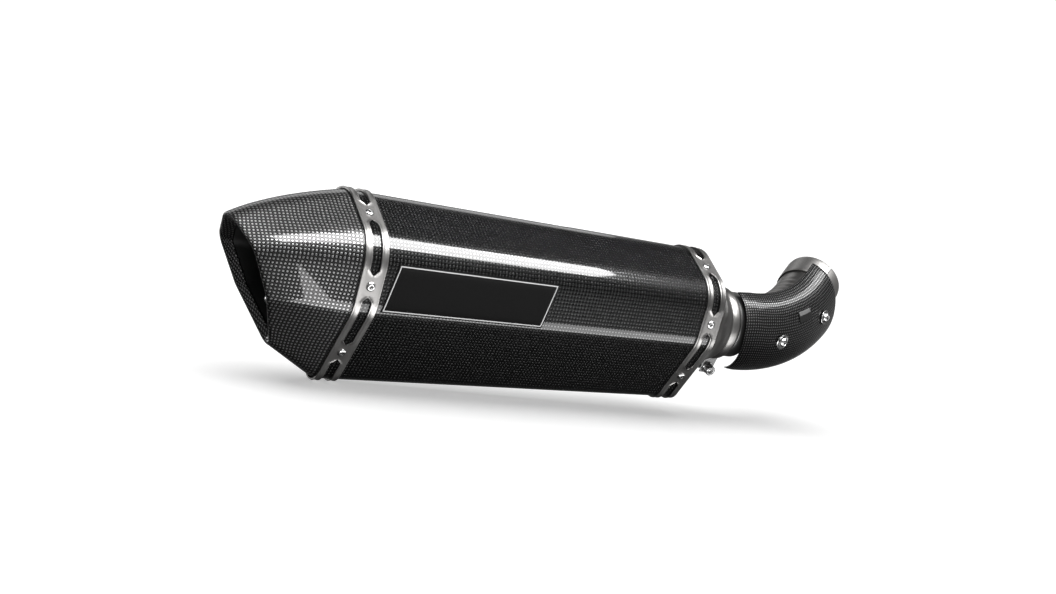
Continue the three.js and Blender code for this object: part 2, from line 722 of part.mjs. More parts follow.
function clampNut() {
  const height = 5;
  const bore = BOLT_RADIUS + GAP;
  const hexagon = new THREE.CylinderGeometry(5.6, 5.6, height, 6).rotateX(Math.PI / 2).translate(0, 0, height / 2);
  const thread = new THREE.CylinderGeometry(bore, bore, 4 * height, 16).rotateX(Math.PI / 2);
  return alongBolt(cut(hexagon, [thread]), -EAR_FACE - 0.2 - height);
}

// ---------------------------------------------------------------- link pipe

const leanDirection = new THREE.Vector3(0, Math.sin(BEND_LEAN), Math.cos(BEND_LEAN));
const bendLength = BEND_RADIUS * BEND_ANGLE;
const pipeLength = BEND_START_X - PIPE_START_X + bendLength + PIPE_TAIL;

// The pipe's centre line at a distance s from its inner end, with its frame across the pipe.
function onPipe(s) {
  const straight = BEND_START_X - PIPE_START_X;
  const turn = THREE.MathUtils.clamp((s - straight) / BEND_RADIUS, 0, BEND_ANGLE);
  const tangent = new THREE.Vector3(Math.cos(turn), 0, 0).addScaledVector(leanDirection, Math.sin(turn));
  const inward = new THREE.Vector3(-Math.sin(turn), 0, 0).addScaledVector(leanDirection, Math.cos(turn));
  const across = new THREE.Vector3().crossVectors(tangent, inward);
  const centre = new THREE.Vector3(PIPE_START_X + Math.min(s, straight), 0, 0);
  centre.x += BEND_RADIUS * Math.sin(turn);
  centre.addScaledVector(leanDirection, BEND_RADIUS * (1 - Math.cos(turn)));
  centre.addScaledVector(tangent, Math.max(0, s - straight - bendLength));
  return { centre, tangent, inward, across };
}

// A point beside the pipe, at an angle from the inside of the bend, with the direction away from the pipe.
function besidePipe(s, angle, radius) {
  const { centre, inward, across } = onPipe(s);
  const outward = inward.clone().multiplyScalar(Math.cos(angle)).addScaledVector(across, Math.sin(angle));
  return { position: centre.clone().addScaledVector(outward, radius), outward };
}

function pipeRing(s, radius) {
  const ring = [];
  for (let i = 0; i < ROUND; i += 1) ring.push(besidePipe(s, (2 * Math.PI * i) / ROUND, radius).position);
  return ring;
}

function linkPipe() {
  const straight = BEND_START_X - PIPE_START_X;
  const end = pipeLength - SLIP_SOCKET_DEPTH;
  const stops = [0, straight];
  const bendSteps = 7;
  for (let i = 1; i <= bendSteps; i += 1) stops.push(straight + (bendLength * i) / bendSteps);
  stops.push(end);
  const outside = stops.map((s) => pipeRing(s, PIPE_RADIUS));
  const inside = stops.reverse().map((s) => pipeRing(s, PIPE_RADIUS - PIPE_WALL));
  return closedLoft([...outside, ...inside]);
}

function slipRing() {
  const start = pipeLength - SLIP_RING_LENGTH;
  const inner = PIPE_RADIUS + GAP;
  const ring = closedLoft([
    pipeRing(start, SLIP_RING_RADIUS),
    pipeRing(pipeLength, SLIP_RING_RADIUS),
    pipeRing(pipeLength, inner),
    pipeRing(start, inner),
  ]);
  const { centre, tangent, across } = onPipe(pipeLength);
  const slot = new THREE.BoxGeometry(SLIP_SLOT_WIDTH, 4 * SLIP_RING_RADIUS, 2 * SLIP_SLOT_LENGTH);
  const side = new THREE.Vector3().crossVectors(across, tangent);
  slot.applyMatrix4(new THREE.Matrix4().makeBasis(side, across, tangent).setPosition(centre));
  return cut(ring, [slot]);
}

// ---------------------------------------------------------------- heat shield on its two bosses

function shieldRadius(angle, s) {
  const lower = THREE.MathUtils.smoothstep(angle, THREE.MathUtils.degToRad(130), SHIELD_LOWER_EDGE);
  const flare = SHIELD_FLARE * Math.max(0, 1 - (s - 20) / 16);
  return SHIELD_RADIUS + SHIELD_BELLY * lower - flare;
}

function heatShield() {
  const angles = 10;
  const stations = 9;
  const grid = (wall) => {
    const rows = [];
    for (let i = 0; i <= angles; i += 1) {
      const share = i / angles;
      const angle = lerp(SHIELD_UPPER_EDGE, SHIELD_LOWER_EDGE, share);
      const start = SHIELD_START + SHIELD_START_DELAY * Math.max(0, share - 0.5) ** 1.2;
      const end = SHIELD_END - SHIELD_END_LOSS * share ** 1.6;
      const row = [];
      for (let j = 0; j <= stations; j += 1) {
        const s = lerp(start, end, j / stations);
        row.push(besidePipe(s, angle, shieldRadius(angle, s) - wall).position);
      }
      rows.push(row);
    }
    return rows;
  };
  const drills = SHIELD_SCREWS.map(({ s, angle }) => {
    const drill = new THREE.CylinderGeometry(3.4, 3.4, 20, 10).rotateX(Math.PI / 2);
    const { position, outward } = besidePipe(s, angle, SHIELD_RADIUS);
    return drill.applyMatrix4(standOn(position, outward));
  });
  return cut(thickSheet(grid(0), grid(SHIELD_WALL)), drills);
}

// Pieces stacked on one shield screw: they stand on the pipe, away from it.
function onShieldScrew(geometry, { s, angle }, radius) {
  const { position, outward } = besidePipe(s, angle, radius);
  return geometry.applyMatrix4(standOn(position, outward));
}

function shieldBoss(place) {
  const top = grommetRadius(place) - GAP - PIPE_RADIUS;
  const boss = turned([[0, 2.5], [3.1, 2.5], [3.1, top], [BOSS_RADIUS, top], [BOSS_RADIUS, -3], [0, -3]], 16);
  const placed = onShieldScrew(boss, place, PIPE_RADIUS);
  const pipe = closedLoft([
    pipeRing(place.s - 12, PIPE_RADIUS + GAP),
    pipeRing(place.s, PIPE_RADIUS + GAP),
    pipeRing(place.s + 12, PIPE_RADIUS + GAP),
    pipeRing(place.s + 12, 5),
    pipeRing(place.s, 5),
    pipeRing(place.s - 12, 5),
  ]);
  return cut(placed, [pipe]);
}

// The grommet is flat, so it lies a little below the middle of the shield's hollow inner face.
function grommetRadius({ s, angle }) {
  return shieldRadius(angle, s) - SHIELD_WALL - GROMMET_THICKNESS - 1.3;
}

function shieldGrommet(place) {
  return onShieldScrew(washerRing(WASHER_RADIUS, 3.3, GROMMET_THICKNESS), place, grommetRadius(place));
}

function shieldWasher(place) {
  const radius = shieldRadius(place.angle, place.s) + 0.9;
  return onShieldScrew(washerRing(WASHER_RADIUS, 3.3, 0.8), place, radius);
}

function shieldScrew(place) {
  const seat = shieldRadius(place.angle, place.s) + 2;
  const length = seat - PIPE_RADIUS - 3;
  const body = turned([
    [0, 3],
    [2.6, 3],
    [4.2, 2],
    [SHIELD_SCREW_RADIUS, 0.6],
    [SHIELD_SCREW_RADIUS, 0],
    [2.7, 0],
    [2.7, -length],
    [0, -length],
  ], 16);
  const socket = new THREE.CylinderGeometry(2, 2, 4, 6).rotateX(Math.PI / 2).translate(0, 0, 3);
  return onShieldScrew(cut(body, [socket]), place, seat);
}

// ---------------------------------------------------------------- badges: thin plates that follow what they sit on

function sleeveBadge() {
  const { rearX, frontX, slant, height, bottom, top } = SLEEVE_BADGE;
  const path = strapPath((rearX + frontX) / 2);
  const middle = rivetStations(path)[1];
  const grid = (lift) => {
    const rows = [];
    for (let i = 0; i <= 8; i += 1) {
      const across = lerp(-height / 2, height / 2, i / 8);
      const row = [];
      for (let j = 0; j <= 4; j += 1) {
        const x = lerp(rearX, frontX, j / 4) - (slant * across) / height;
        const local = strapPath(x);
        row.push(onStrap(local, (middle + across) * (local.total / path.total), x, lift).position);
      }
      rows.push(row);
    }
    return rows;
  };
  return thickSheet(grid(top), grid(bottom));
}

function shieldBadge() {
  const { from, to, upper, lower, bottom, top } = SHIELD_BADGE;
  const grid = (lift) => {
    const rows = [];
    for (let i = 0; i <= 3; i += 1) {
      const angle = THREE.MathUtils.degToRad(lerp(upper, lower, i / 3));
      const row = [];
      for (let j = 0; j <= 2; j += 1) {
        const s = lerp(from, to, j / 2);
        row.push(besidePipe(s, angle, SHIELD_RADIUS + lift).position);
      }
      rows.push(row);
    }
    return rows;
  };
  return thickSheet(grid(top), grid(bottom));
}

// ---------------------------------------------------------------- assembly

const muffler = new THREE.Group();
muffler.add(named('outer_sleeve', outerSleeve(), carbon()));
muffler.add(named('rear_strap', rearStrap(), titanium()));
muffler.add(named('end_cap', endCap(), carbon()));
muffler.add(named('outlet_cup', outletCup(), blackSteel()));
muffler.add(named('cup_screw', cupScrew(), steel()));
muffler.add(named('cup_nut', cupNut(), steel()));
const rearBaffleInset = SLEEVE_WALL + 2 * GAP + SKIRT_WALL;
muffler.add(named('rear_baffle', baffle(REAR_BAFFLE_X, rearBaffleInset, CORE_RADIUS - 1), steel()));
muffler.add(named('front_baffle', baffle(FRONT_BAFFLE_X, SLEEVE_WALL + GAP, CORE_RADIUS + GAP), steel()));
muffler.add(named('perforated_core', perforatedCore(), steel()));
muffler.add(named('packing_wool', packingWool(), wool()));
muffler.add(named('noise_damper', noiseDamper(), blackSteel()));
muffler.add(named('inlet_cap', inletCap(), titanium()));
muffler.add(named('inlet_sleeve', inletSleeve(), titanium()));
muffler.add(named('sleeve_badge', sleeveBadge(), enamel()));
const rearGrip = STRAP_LIFT + STRAP_WALL + SLEEVE_WALL + GAP + SKIRT_WALL;
const frontGrip = STRAP_LIFT + STRAP_WALL + SLEEVE_WALL;
rearRivetPlaces.forEach(({ position, normal }, i) => {
  muffler.add(named(`rear_rivet_${i + 1}`, rivet(rearGrip).applyMatrix4(standOn(position, normal)), steel()));
});
frontRivetPlaces.forEach(({ position, normal }, i) => {
  muffler.add(named(`front_rivet_${i + 1}`, rivet(frontGrip).applyMatrix4(standOn(position, normal)), steel()));
});

const clamp = new THREE.Group();
clamp.position.x = CLAMP_X;
clamp.rotation.x = CLAMP_TURN;
clamp.add(named('clamp_band', clampBand(), steel()));
clamp.add(named('clamp_bolt', clampBolt(), steel()));
clamp.add(named('clamp_washer', alongBolt(washerRing(6, BOLT_RADIUS + GAP, 1.2), EAR_FACE + 0.2), steel()));
clamp.add(named('clamp_nut', clampNut(), steel()));

const link = new THREE.Group();
link.add(named('link_pipe', linkPipe(), titanium()));
link.add(named('slip_ring', slipRing(), titanium()));
link.add(named('heat_shield', heatShield(), carbon()));
link.add(named('shield_badge', shieldBadge(), enamel()));
SHIELD_SCREWS.forEach((place, i) => {
  link.add(named(`shield_boss_${i + 1}`, shieldBoss(place), titanium()));
  link.add(named(`shield_grommet_${i + 1}`, shieldGrommet(place), blackSteel()));
  link.add(named(`shield_washer_${i + 1}`, shieldWasher(place), steel()));
  link.add(named(`shield_screw_${i + 1}`, shieldScrew(place), steel()));
});

const exhaust = new THREE.Group();
exhaust.add(muffler, clamp, link);
exhaust.position.copy(onPipe(pipeLength).centre).negate();

export default exhaust;
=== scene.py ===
"""Looks of a motorcycle slip-on exhaust muffler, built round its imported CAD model.

Lengths are millimetres on the muffler's gas axis, unless a comment says metres: x = 0 at the middle of the rear
strap, +X towards the inlet, -Y outwards on the motorcycle, +Z up. place() turns them into the frame's metres.
"""

from bisect import bisect_right
from math import asin, atan2, cos, pi, radians, sin, tau

import bmesh
import bpy
from mathutils import Matrix, Vector


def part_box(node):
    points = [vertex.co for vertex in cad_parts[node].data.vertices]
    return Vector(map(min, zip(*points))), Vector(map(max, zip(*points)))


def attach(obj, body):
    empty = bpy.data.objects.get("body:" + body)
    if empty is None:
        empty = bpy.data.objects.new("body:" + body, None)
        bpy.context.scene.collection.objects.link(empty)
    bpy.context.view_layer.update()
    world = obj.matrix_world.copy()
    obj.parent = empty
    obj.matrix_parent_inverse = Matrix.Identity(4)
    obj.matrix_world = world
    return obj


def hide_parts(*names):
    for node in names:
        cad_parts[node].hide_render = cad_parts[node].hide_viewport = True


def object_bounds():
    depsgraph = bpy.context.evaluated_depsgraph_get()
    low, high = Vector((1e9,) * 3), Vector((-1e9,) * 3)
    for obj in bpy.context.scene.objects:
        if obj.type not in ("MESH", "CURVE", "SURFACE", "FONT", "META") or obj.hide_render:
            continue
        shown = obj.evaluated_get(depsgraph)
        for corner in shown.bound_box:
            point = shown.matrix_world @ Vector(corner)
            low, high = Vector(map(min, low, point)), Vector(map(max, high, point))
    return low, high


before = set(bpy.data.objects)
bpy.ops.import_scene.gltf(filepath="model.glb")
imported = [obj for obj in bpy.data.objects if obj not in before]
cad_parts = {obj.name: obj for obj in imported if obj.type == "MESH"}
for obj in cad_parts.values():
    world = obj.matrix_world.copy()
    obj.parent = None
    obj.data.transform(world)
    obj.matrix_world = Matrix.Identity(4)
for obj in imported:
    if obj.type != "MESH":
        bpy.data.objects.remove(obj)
cad_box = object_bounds()

MM = 0.001
DAMPER_REAR_X = -15
damper_low, damper_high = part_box("noise_damper")
AXIS_ORIGIN = (damper_low + damper_high) / 2
AXIS_ORIGIN.x = damper_low.x - DAMPER_REAR_X * MM

# ---- dimensions

SLEEVE_CORNERS = [(0, 77.6, 33), (63.4, 35.5, 32), (55.5, -21, 29), (0, -100, 15)]  # y, z, rounding radius
STRAP_PITCH = 352.7
FRONT_SCALE = 0.9  # size of the section at the front strap against the rear one
FRONT_LIFT = 3.1  # and how much higher it sits
SLEEVE_WALL = 1.6
SLEEVE_ENDS = (-8, STRAP_PITCH + 8)

STRAP_WIDTH = 21
STRAP_WALL = 1.2
STRAP_LIFT = 0.2
STRAP_OUT = STRAP_LIFT + STRAP_WALL
WINDOW_HALF_WIDTH = 4.3
WINDOW_POINT = 4.5  # length of a window's tapered end
WINDOW_TO_RIVET = 9
RIVET_SHARES = [0.5, 0.5, 0.59, 0.41, 0.5, 0.5]  # how far along its flat each rivet is
EDGE_STEPS = [0, 0.35, 0.9, 1.5, 2.1]  # distances from a strap's edges that get a row of points
BEAD_HEIGHT = 0.42
BEAD_WIDTH = 1.5
DRAIN_OFFSET = 7.4  # from the front strap's middle
DRAIN_RIVET = 2  # the rivet that it is in line with

RIM_CORNERS = [(0, 45, 20), (33.5, 17, 17), (30, -22, 14), (0, -75, 10)]
RIM_SIDESTEP = -6
RIM_X, RIM_RAKE, RIM_YAW = -88.4, 0.52, 0.1  # x on the axis, and how fast it falls with z and with y
CAP_START_X = -8.3
CAP_WALL = 2
LIP_WIDTH = 8
LIP_DEPTH = 5
LIP_PROFILE = [  # inset and depth of the rolled lip's rings, from outside to inside
    (0.12, -0.3), (0.5, -0.85), (1.1, -1.2), (1.9, -1.35), (2.8, -1.2), (3.7, -0.7), (4.8, 0.5), (6.0, 2.1),
    (7.2, 3.9), (7.8, 5.0), (LIP_WIDTH, 5.7), (7.8, LIP_DEPTH + 1.5), (3.8, 3),
]
SKIRT_GAP, SKIRT_WALL, SKIRT_END_X = 0.3, 1.8, 8  # the cap's skirt inside the sleeve
CUP_WALL = 1.5
CUP_RIM = (LIP_WIDTH - 2, LIP_DEPTH + 2.6)  # inset and depth from the cap's rim
CUP_NECK = (-16, 27.5)  # x and radius
CUP_END_X = 3.7
CUP_SCREW_SHARE = 0.22  # of the way from the cup's rim to its neck
CUP_SCREW_STATION = 27

INLET_OUTER, INLET_INNER = 29.7, 27.9
INLET_ENDS = (386, 424)
INLET_SLOT = (2.4, 17)  # width and length
FLANGE_X = 404
DISH_SHAPE = [(363.2, 0), (366, 0.12), (371, 0.36), (377, 0.64), (384, 0.88), (391, 1)]  # x, share of the fall
DISH_NECK = 36.5
DISH_WALL = 1.6
INLET_SEAT = INLET_OUTER + 0.5  # bore round the inlet sleeve
NECK_PROFILE = [  # x and radius, from the dish's neck round the flange to its bore
    (393, 35.4), (394, 34.7), (395, 34.4), (396, 34.8), (397, 35.2), (399, 35.3), (401, 35.3), (402.4, 35.2),
    (403.2, 34.9), (403.8, 34.4), (FLANGE_X, 33.8), (FLANGE_X, INLET_SEAT + 0.7), (403.6, INLET_SEAT),
    (391, INLET_SEAT),
]
CLAMP_X = 414.5
CLAMP_TURN = radians(22)
CLAMP_WIDTH = 14
CLAMP_WALL = 1.6
CLAMP_INNER = INLET_OUTER + 0.3
CLAMP_BEVEL = 0.35
EAR_GAP = 5
EAR_END = 55
EAR_BEND = 1.6
BOLT_DEPTH = 49
BOLT_PROFILE = [(0, -24), (2.3, -24), (2.9, -23.4), (2.9, 0), (5, 0), (5, 5.4), (4.9, 5.75), (4.5, 6)]
BOLT_SEAT, WASHER_SEAT, NUT_SEAT = 1.7, 0.2, 5.2  # distances outwards from an ear's face

PIPE_RADIUS = 27.5
PIPE_WALL = 1.6
PIPE_START_X = 388
PIPE_STRAIGHT = INLET_ENDS[1] - PIPE_START_X
BEND_RADIUS = 140
BEND_ANGLE = radians(43.5)
BEND_LEAN = radians(38)
BEND_LENGTH = BEND_RADIUS * BEND_ANGLE
PIPE_LENGTH = PIPE_STRAIGHT + BEND_LENGTH + 38
SLIP_RING = (29.5, 27.8, 26)  # outer radius, inner radius, length
SLIP_SOCKET = 18
SLIP_SLOT = (2.6, 14)
RIPPLE_HEIGHT, RIPPLE_LENGTH = 0.34, 9.5

SHIELD_EDGES = (radians(60), radians(206))
SHIELD_RADIUS = 38
SHIELD_BELLY = 6
SHIELD_WALL = 1.6
SHIELD_START, SHIELD_START_RAKE = 22, 14  # distance along the pipe, and how much more of it at the lower edge
SHIELD_END, SHIELD_END_RAKE = 160, -34
SHIELD_ROWS, SHIELD_COLUMNS = 64, 72
SHIELD_HOLE = 3.6
SHIELD_SCREWS = [(64, radians(141)), (122, radians(132))]  # distance along the pipe, angle round it
SHIELD_CUP = [(3.3, 0), (7.2, 0), (7.5, 0.2), (7.5, 0.55), (7.2, 0.8), (6.4, 0.8), (5.6, 0.5), (3.3, 0.5)]
SHIELD_RUBBER = (7.5, 3.3, 1.2)  # outer radius, inner radius, thickness
SHIELD_RUBBER_GAP = 1.3

BADGE_REAR, BADGE_FRONT, BADGE_SLANT, BADGE_HEIGHT = 18.5, 174.5, 7, 41
BADGE_LINE, BADGE_INSET = 0.9, 1.2  # the outline's width, and its distance from the plate's edge

PER_CORNER = 7  # stations from one corner of a section to the next
STATIONS = 6 * PER_CORNER
ARC_PART = 4  # of a corner's stations, the ones on its rounding; the rest are on the flat
FINE = 0.25  # step along a section, in stations
SIDES = 48  # of a screw, nut or washer
WASHER_EDGE = 0.2
PIPE_SIDES = 96

SLEEVE_TOW = 2.3  # width of a tow
SHIELD_TOW = 1.9
WEAVE_TURN = radians(45)
TOW_WANDER = 0.35
FIBRES_ALONG, FIBRES_ACROSS = 0.35, 9.0  # how fast the noise of the fibres changes
COAT_ROUGHNESS, COAT_IOR = 0.03, 1.28
METAL_BUMP = 0.02

FLOOR_REACH = 30  # metres each way
FLOOR_GLOW = 0.42
SUN_STRENGTH = 2.9
SUN_WIDTH = radians(70)
SUN_TILT = radians(-12)
LINK_END = ["carbon_heat_shield", "titanium_link_pipe", "titanium_inlet_sleeve"]
BANKS = [  # name, x, degrees up from -Y, distance and size in metres, radiance, pieces that it spares
    ("sleeve_bank", 880, 60, 1.5, (0.85, 0.9), 38, LINK_END),
    ("cap_bank", -100, 58, 1.4, (0.7, 0.8), 26, ["titanium_link_pipe", "slotted_slip_ring"]),
    ("link_bank", 900, 75, 1.5, (1.6, 0.5), 8, ["carbon_sleeve"]),
    ("back_bank", 100, 142, 1.5, (2.4, 0.5), 1.2, []),
    ("far_card", 100, 182, 1.5, (2.2, 0.6), 2.5, ["titanium_inlet_cap"]),
    ("front_card", 330, -38, 0.42, (0.86, 0.2), 9, LINK_END + ["sleeve_badge_plate"]),
    ("tail_card", -800, 90, 0.5, (0.4, 0.4), 12, []),
]
WORLD_SHOWN = 1.1  # strength of the white that the camera sees
WORLD_STRENGTH = 2  # and of what lights the object
WORLD_RAMP = [  # a direction's height from -1 to 1, and its brightness to the object
    (-1, 0.01), (-0.5, 0.03), (-0.1, 0.12), (0.25, 0.12), (0.5, 0.02), (1, 0.01),
]

AZIMUTH, ELEVATION, ROLL = radians(-32.26), radians(6.04), radians(11.14)
CAMERA_DISTANCE = 1.394  # metres
CAMERA_TARGET = (184.94, -0.6, 1.13)
LENS, SENSOR_WIDTH = 53.2, 36


def lerp(a, b, t):
    return a + (b - a) * t


def smoothstep(x, low, high):
    t = min(max((x - low) / (high - low), 0), 1)
    return t * t * (3 - 2 * t)


def steps(low, high, count):
    return [lerp(low, high, i / count) for i in range(count + 1)]


def round_angles(count):
    return [tau * k / count for k in range(count)]


def angle_between(a, b):
    return abs((a - b + pi) % tau - pi)


def polar(radius, angle, z):
    return Vector((radius * cos(angle), radius * sin(angle), z))


def place(point):
    return AXIS_ORIGIN + Vector(point) * MM


def add_object(name, data):
    thing = bpy.data.objects.new(name, data)
    bpy.context.scene.collection.objects.link(thing)
    return thing


# ---- sections

def all_corners(half, sidestep=0):
    """The six corners round a section, from its top towards -Y."""
    top, shoulder, side, keel = half
    loop = [top, (-shoulder[0], *shoulder[1:]), (-side[0], *side[1:]), keel, side, shoulder]
    return [(y + sidestep, z, r) for y, z, r in loop]


REAR_SECTION = all_corners(SLEEVE_CORNERS)
RIM_SECTION = all_corners(RIM_CORNERS, RIM_SIDESTEP)


def sleeve_corners(x):
    scale = lerp(1, FRONT_SCALE, x / STRAP_PITCH)
    lift = lerp(0, FRONT_LIFT, x / STRAP_PITCH)
    return [(y * scale, z * scale + lift, r * scale) for y, z, r in REAR_SECTION]


def mix_sections(a, b, t):
    return [tuple(lerp(p, q, t) for p, q in zip(c, d)) for c, d in zip(a, b)]


def corner_arc(section, i, inset):
    """Centre, radius, first angle and sweep of a corner's rounding."""
    before, here, after = section[i - 1], section[i], section[(i + 1) % 6]
    normal_in = Vector((here[1] - before[1], before[0] - here[0])).normalized()
    normal_out = Vector((after[1] - here[1], here[0] - after[0])).normalized()
    bisector = (normal_in + normal_out).normalized()
    centre = Vector(here[:2]) - bisector * (here[2] / bisector.dot(normal_in))
    start = atan2(normal_in.y, normal_in.x)
    sweep = (atan2(normal_out.y, normal_out.x) - start) % tau
    return centre, here[2] - inset, start, sweep


def arc_point(arc, share):
    centre, radius, start, sweep = arc
    angle = start + sweep * share
    normal = Vector((cos(angle), sin(angle)))
    return centre + normal * radius, normal


class Section:
    """A rounded section, asked for points and normals at a station, counted from its top towards -Y."""

    def __init__(self, section, inset=0):
        self.arcs = [corner_arc(section, i, inset) for i in range(6)]

    def at(self, station):
        station %= STATIONS
        corner, part = int(station // PER_CORNER), station % PER_CORNER
        if part <= ARC_PART:
            return arc_point(self.arcs[corner], part / ARC_PART)
        start, normal = arc_point(self.arcs[corner], 1)
        end, _ = arc_point(self.arcs[(corner + 1) % 6], 0)
        return start.lerp(end, (part - ARC_PART) / (PER_CORNER - ARC_PART)), normal


def sleeve_section(x, inset=0):
    return Section(sleeve_corners(x), inset)


ROUND_THE_SECTION = steps(0, STATIONS, int(STATIONS / FINE))[:-1]


def stand_off(x, section, station, height):
    """The point at a height above a section's surface, and the surface's direction there."""
    point, normal = section.at(station)
    return Vector((x, *(point + normal * height))), Vector((0, *normal))


def sleeve_ring(x, inset):
    section = sleeve_section(x, inset)
    return [Vector((x, *section.at(p)[0])) for p in ROUND_THE_SECTION]


def round_ring(x, radius, stations=ROUND_THE_SECTION):
    """A circle whose points face the same stations of a section."""
    angles = [pi / 2 + tau * (p - ARC_PART / 2) / STATIONS for p in stations]
    return [Vector((x, radius * cos(a), radius * sin(a))) for a in angles]


def mix_rings(a, b, t):
    return [p.lerp(q, t) for p, q in zip(a, b)]


def through(points, per_span):
    """Points on a smooth curve (Catmull-Rom) through the given tuples."""
    curve = []
    for i in range(len(points) - 1):
        p = [points[max(i - 1, 0)], points[i], points[i + 1], points[min(i + 2, len(points) - 1)]]
        for k in range(per_span):
            t = k / per_span
            curve.append(tuple(
                b + t * (c - a) / 2 + t * t * (2 * a - 5 * b + 4 * c - d) / 2
                + t ** 3 * (3 * b - a - 3 * c + d) / 2
                for a, b, c, d in zip(*p)
            ))
    return curve + [tuple(points[-1])]


# ---- meshes

class Surface:
    """Points, faces and each face corner's weave coordinates, in millimetres."""

    def __init__(self):
        self.points, self.faces, self.weave = [], [], []

    def add_grid(self, rows, keep=None, wrap=False, flip=False, home=0):
        """Joins equal rows of points. The weave runs along and across the rows, counted from column home."""
        count = len(rows[0])
        first = len(self.points)
        coordinates = weave_coordinates(rows, wrap, home)
        for row in rows:
            self.points.extend(row)
        for i in range(len(rows) - 1):
            for j in range(count if wrap else count - 1):
                if keep and not keep(i, j):
                    continue
                corners = [(i, j), (i + 1, j), (i + 1, j + 1), (i, j + 1)]
                if flip:
                    corners.reverse()
                self.faces.append([first + a * count + b % count for a, b in corners])
                self.weave.append([coordinates[a][b] for a, b in corners])
        return self

    def add(self, other):
        first = len(self.points)
        self.points.extend(other.points)
        self.faces.extend([[first + i for i in face] for face in other.faces])
        self.weave.extend(other.weave)
        return self

    def moved(self, matrix):
        self.points = [matrix @ Vector(p) for p in self.points]
        return self

    def drop(self, unwanted):
        kept = [k for k, face in enumerate(self.faces) if not unwanted(face)]
        self.faces = [self.faces[k] for k in kept]
        self.weave = [self.weave[k] for k in kept]


def weave_coordinates(rows, wrap, home):
    """Lengths along and across a grid to each of its points, with a column more for a grid that wraps."""
    count = len(rows[0])
    along = [[0.0] * (count + 1)]
    for before, row in zip(rows, rows[1:]):
        steps_along = [(q - p).length for p, q in zip(before, row)]
        along.append([u + d for u, d in zip(along[-1], steps_along + steps_along[:1])])
    across = []
    for row in rows:
        v = [0.0]
        for j in range(1, count + 1):
            v.append(v[-1] + ((row[j % count] - row[j - 1]).length if wrap or j < count else 0))
        across.append([value - v[home] for value in v])
    return [[(u, v) for u, v in zip(us, vs)] for us, vs in zip(along, across)]


def all_solid(i, j):
    return "solid"


def shell(outer, inner, state=all_solid, wrap=False):
    """A sheet with thickness from two equal grids. state(i, j) says of a cell: 'solid', 'open' or 'shut'
    (a cell of no width, whose sides meet)."""
    rows, count = len(outer), len(outer[0])
    columns = count if wrap else count - 1
    offset = rows * count

    def is_solid(i, j):
        return state(i, j) == "solid"

    surface = Surface().add_grid(outer, is_solid, wrap).add_grid(inner, is_solid, wrap, flip=True)

    def cell(i, j):
        if wrap:
            j %= columns
        if 0 <= i < rows - 1 and 0 <= j < columns:
            return state(i, j)
        return "open"

    def wall(a, b):
        (ia, ja), (ib, jb) = a, b
        p, q = ia * count + ja % count, ib * count + jb % count
        surface.faces.append([p, q, offset + q, offset + p])
        surface.weave.append([(0, 0)] * 4)

    for i in range(rows):
        for j in range(columns):
            if {cell(i - 1, j), cell(i, j)} == {"solid", "open"}:
                wall((i, j), (i, j + 1))
    for i in range(rows - 1):
        for j in range(columns + (0 if wrap else 1)):
            if {cell(i, j - 1), cell(i, j)} == {"solid", "open"}:
                wall((i, j), (i + 1, j))
    return surface


def loft(rings, home=0, open_ends=False):
    """Closed rings joined one to the next, and the last to the first unless open_ends."""
    rows = rings if open_ends else rings + rings[:1]
    return Surface().add_grid(rows, wrap=True, home=home)


def turned(profile, sides=64, on_axis=False):
    """A solid of revolution about +Z from (radius, z) points: a closed loop, or ending on the axis."""
    angles = round_angles(sides)
    return loft([[polar(max(r, 1e-4), a, z) for a in angles] for r, z in profile], open_ends=on_axis)


def stand_on(position, direction):
    """The matrix that stands a turned part on a point, its axis in a direction."""
    turn = Vector((0, 0, 1)).rotation_difference(Vector(direction))
    return Matrix.Translation(Vector(position)) @ turn.to_matrix().to_4x4()


def make_piece(name, surface, material, nodes, slot, body="muffler", sharp=32):
    """Turns a surface into a piece that rides on a body and stands for CAD nodes."""
    mesh = bpy.data.meshes.new(name)
    mesh.from_pydata([place(p) for p in surface.points], [], surface.faces)
    layer = mesh.uv_layers.new(name="weave")
    for loop, uv in zip(layer.data, [uv for face in surface.weave for uv in face]):
        loop.uv = uv
    clean = bmesh.new()
    clean.from_mesh(mesh)
    bmesh.ops.remove_doubles(clean, verts=clean.verts, dist=2e-6)
    bmesh.ops.dissolve_degenerate(clean, edges=clean.edges, dist=1e-6)
    bmesh.ops.recalc_face_normals(clean, faces=clean.faces)
    clean.to_mesh(mesh)
    clean.free()
    mesh.polygons.foreach_set("use_smooth", [True] * len(mesh.polygons))
    mesh.set_sharp_from_angle(angle=radians(sharp))
    mesh.materials.append(material)
    piece = add_object(name, mesh)
    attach(piece, body)
    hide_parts(*nodes)


# ---- material nodes

class Tree:
    """Adds nodes to a material's or world's node tree, and puts values or links into their sockets."""

    def __init__(self, owner):
        owner.use_nodes = True
        self.graph = owner.node_tree

    def new(self, kind, inputs=(), **settings):
        node = self.graph.nodes.new("ShaderNode" + kind)
        for key, value in settings.items():
            setattr(node, key, value)
        for key, value in dict(inputs).items():
            self.put(node.inputs[key], value)
        return node

    def put(self, socket, value):
        if isinstance(value, bpy.types.NodeSocket):
            self.graph.links.new(value, socket)
        else:
            socket.default_value = value


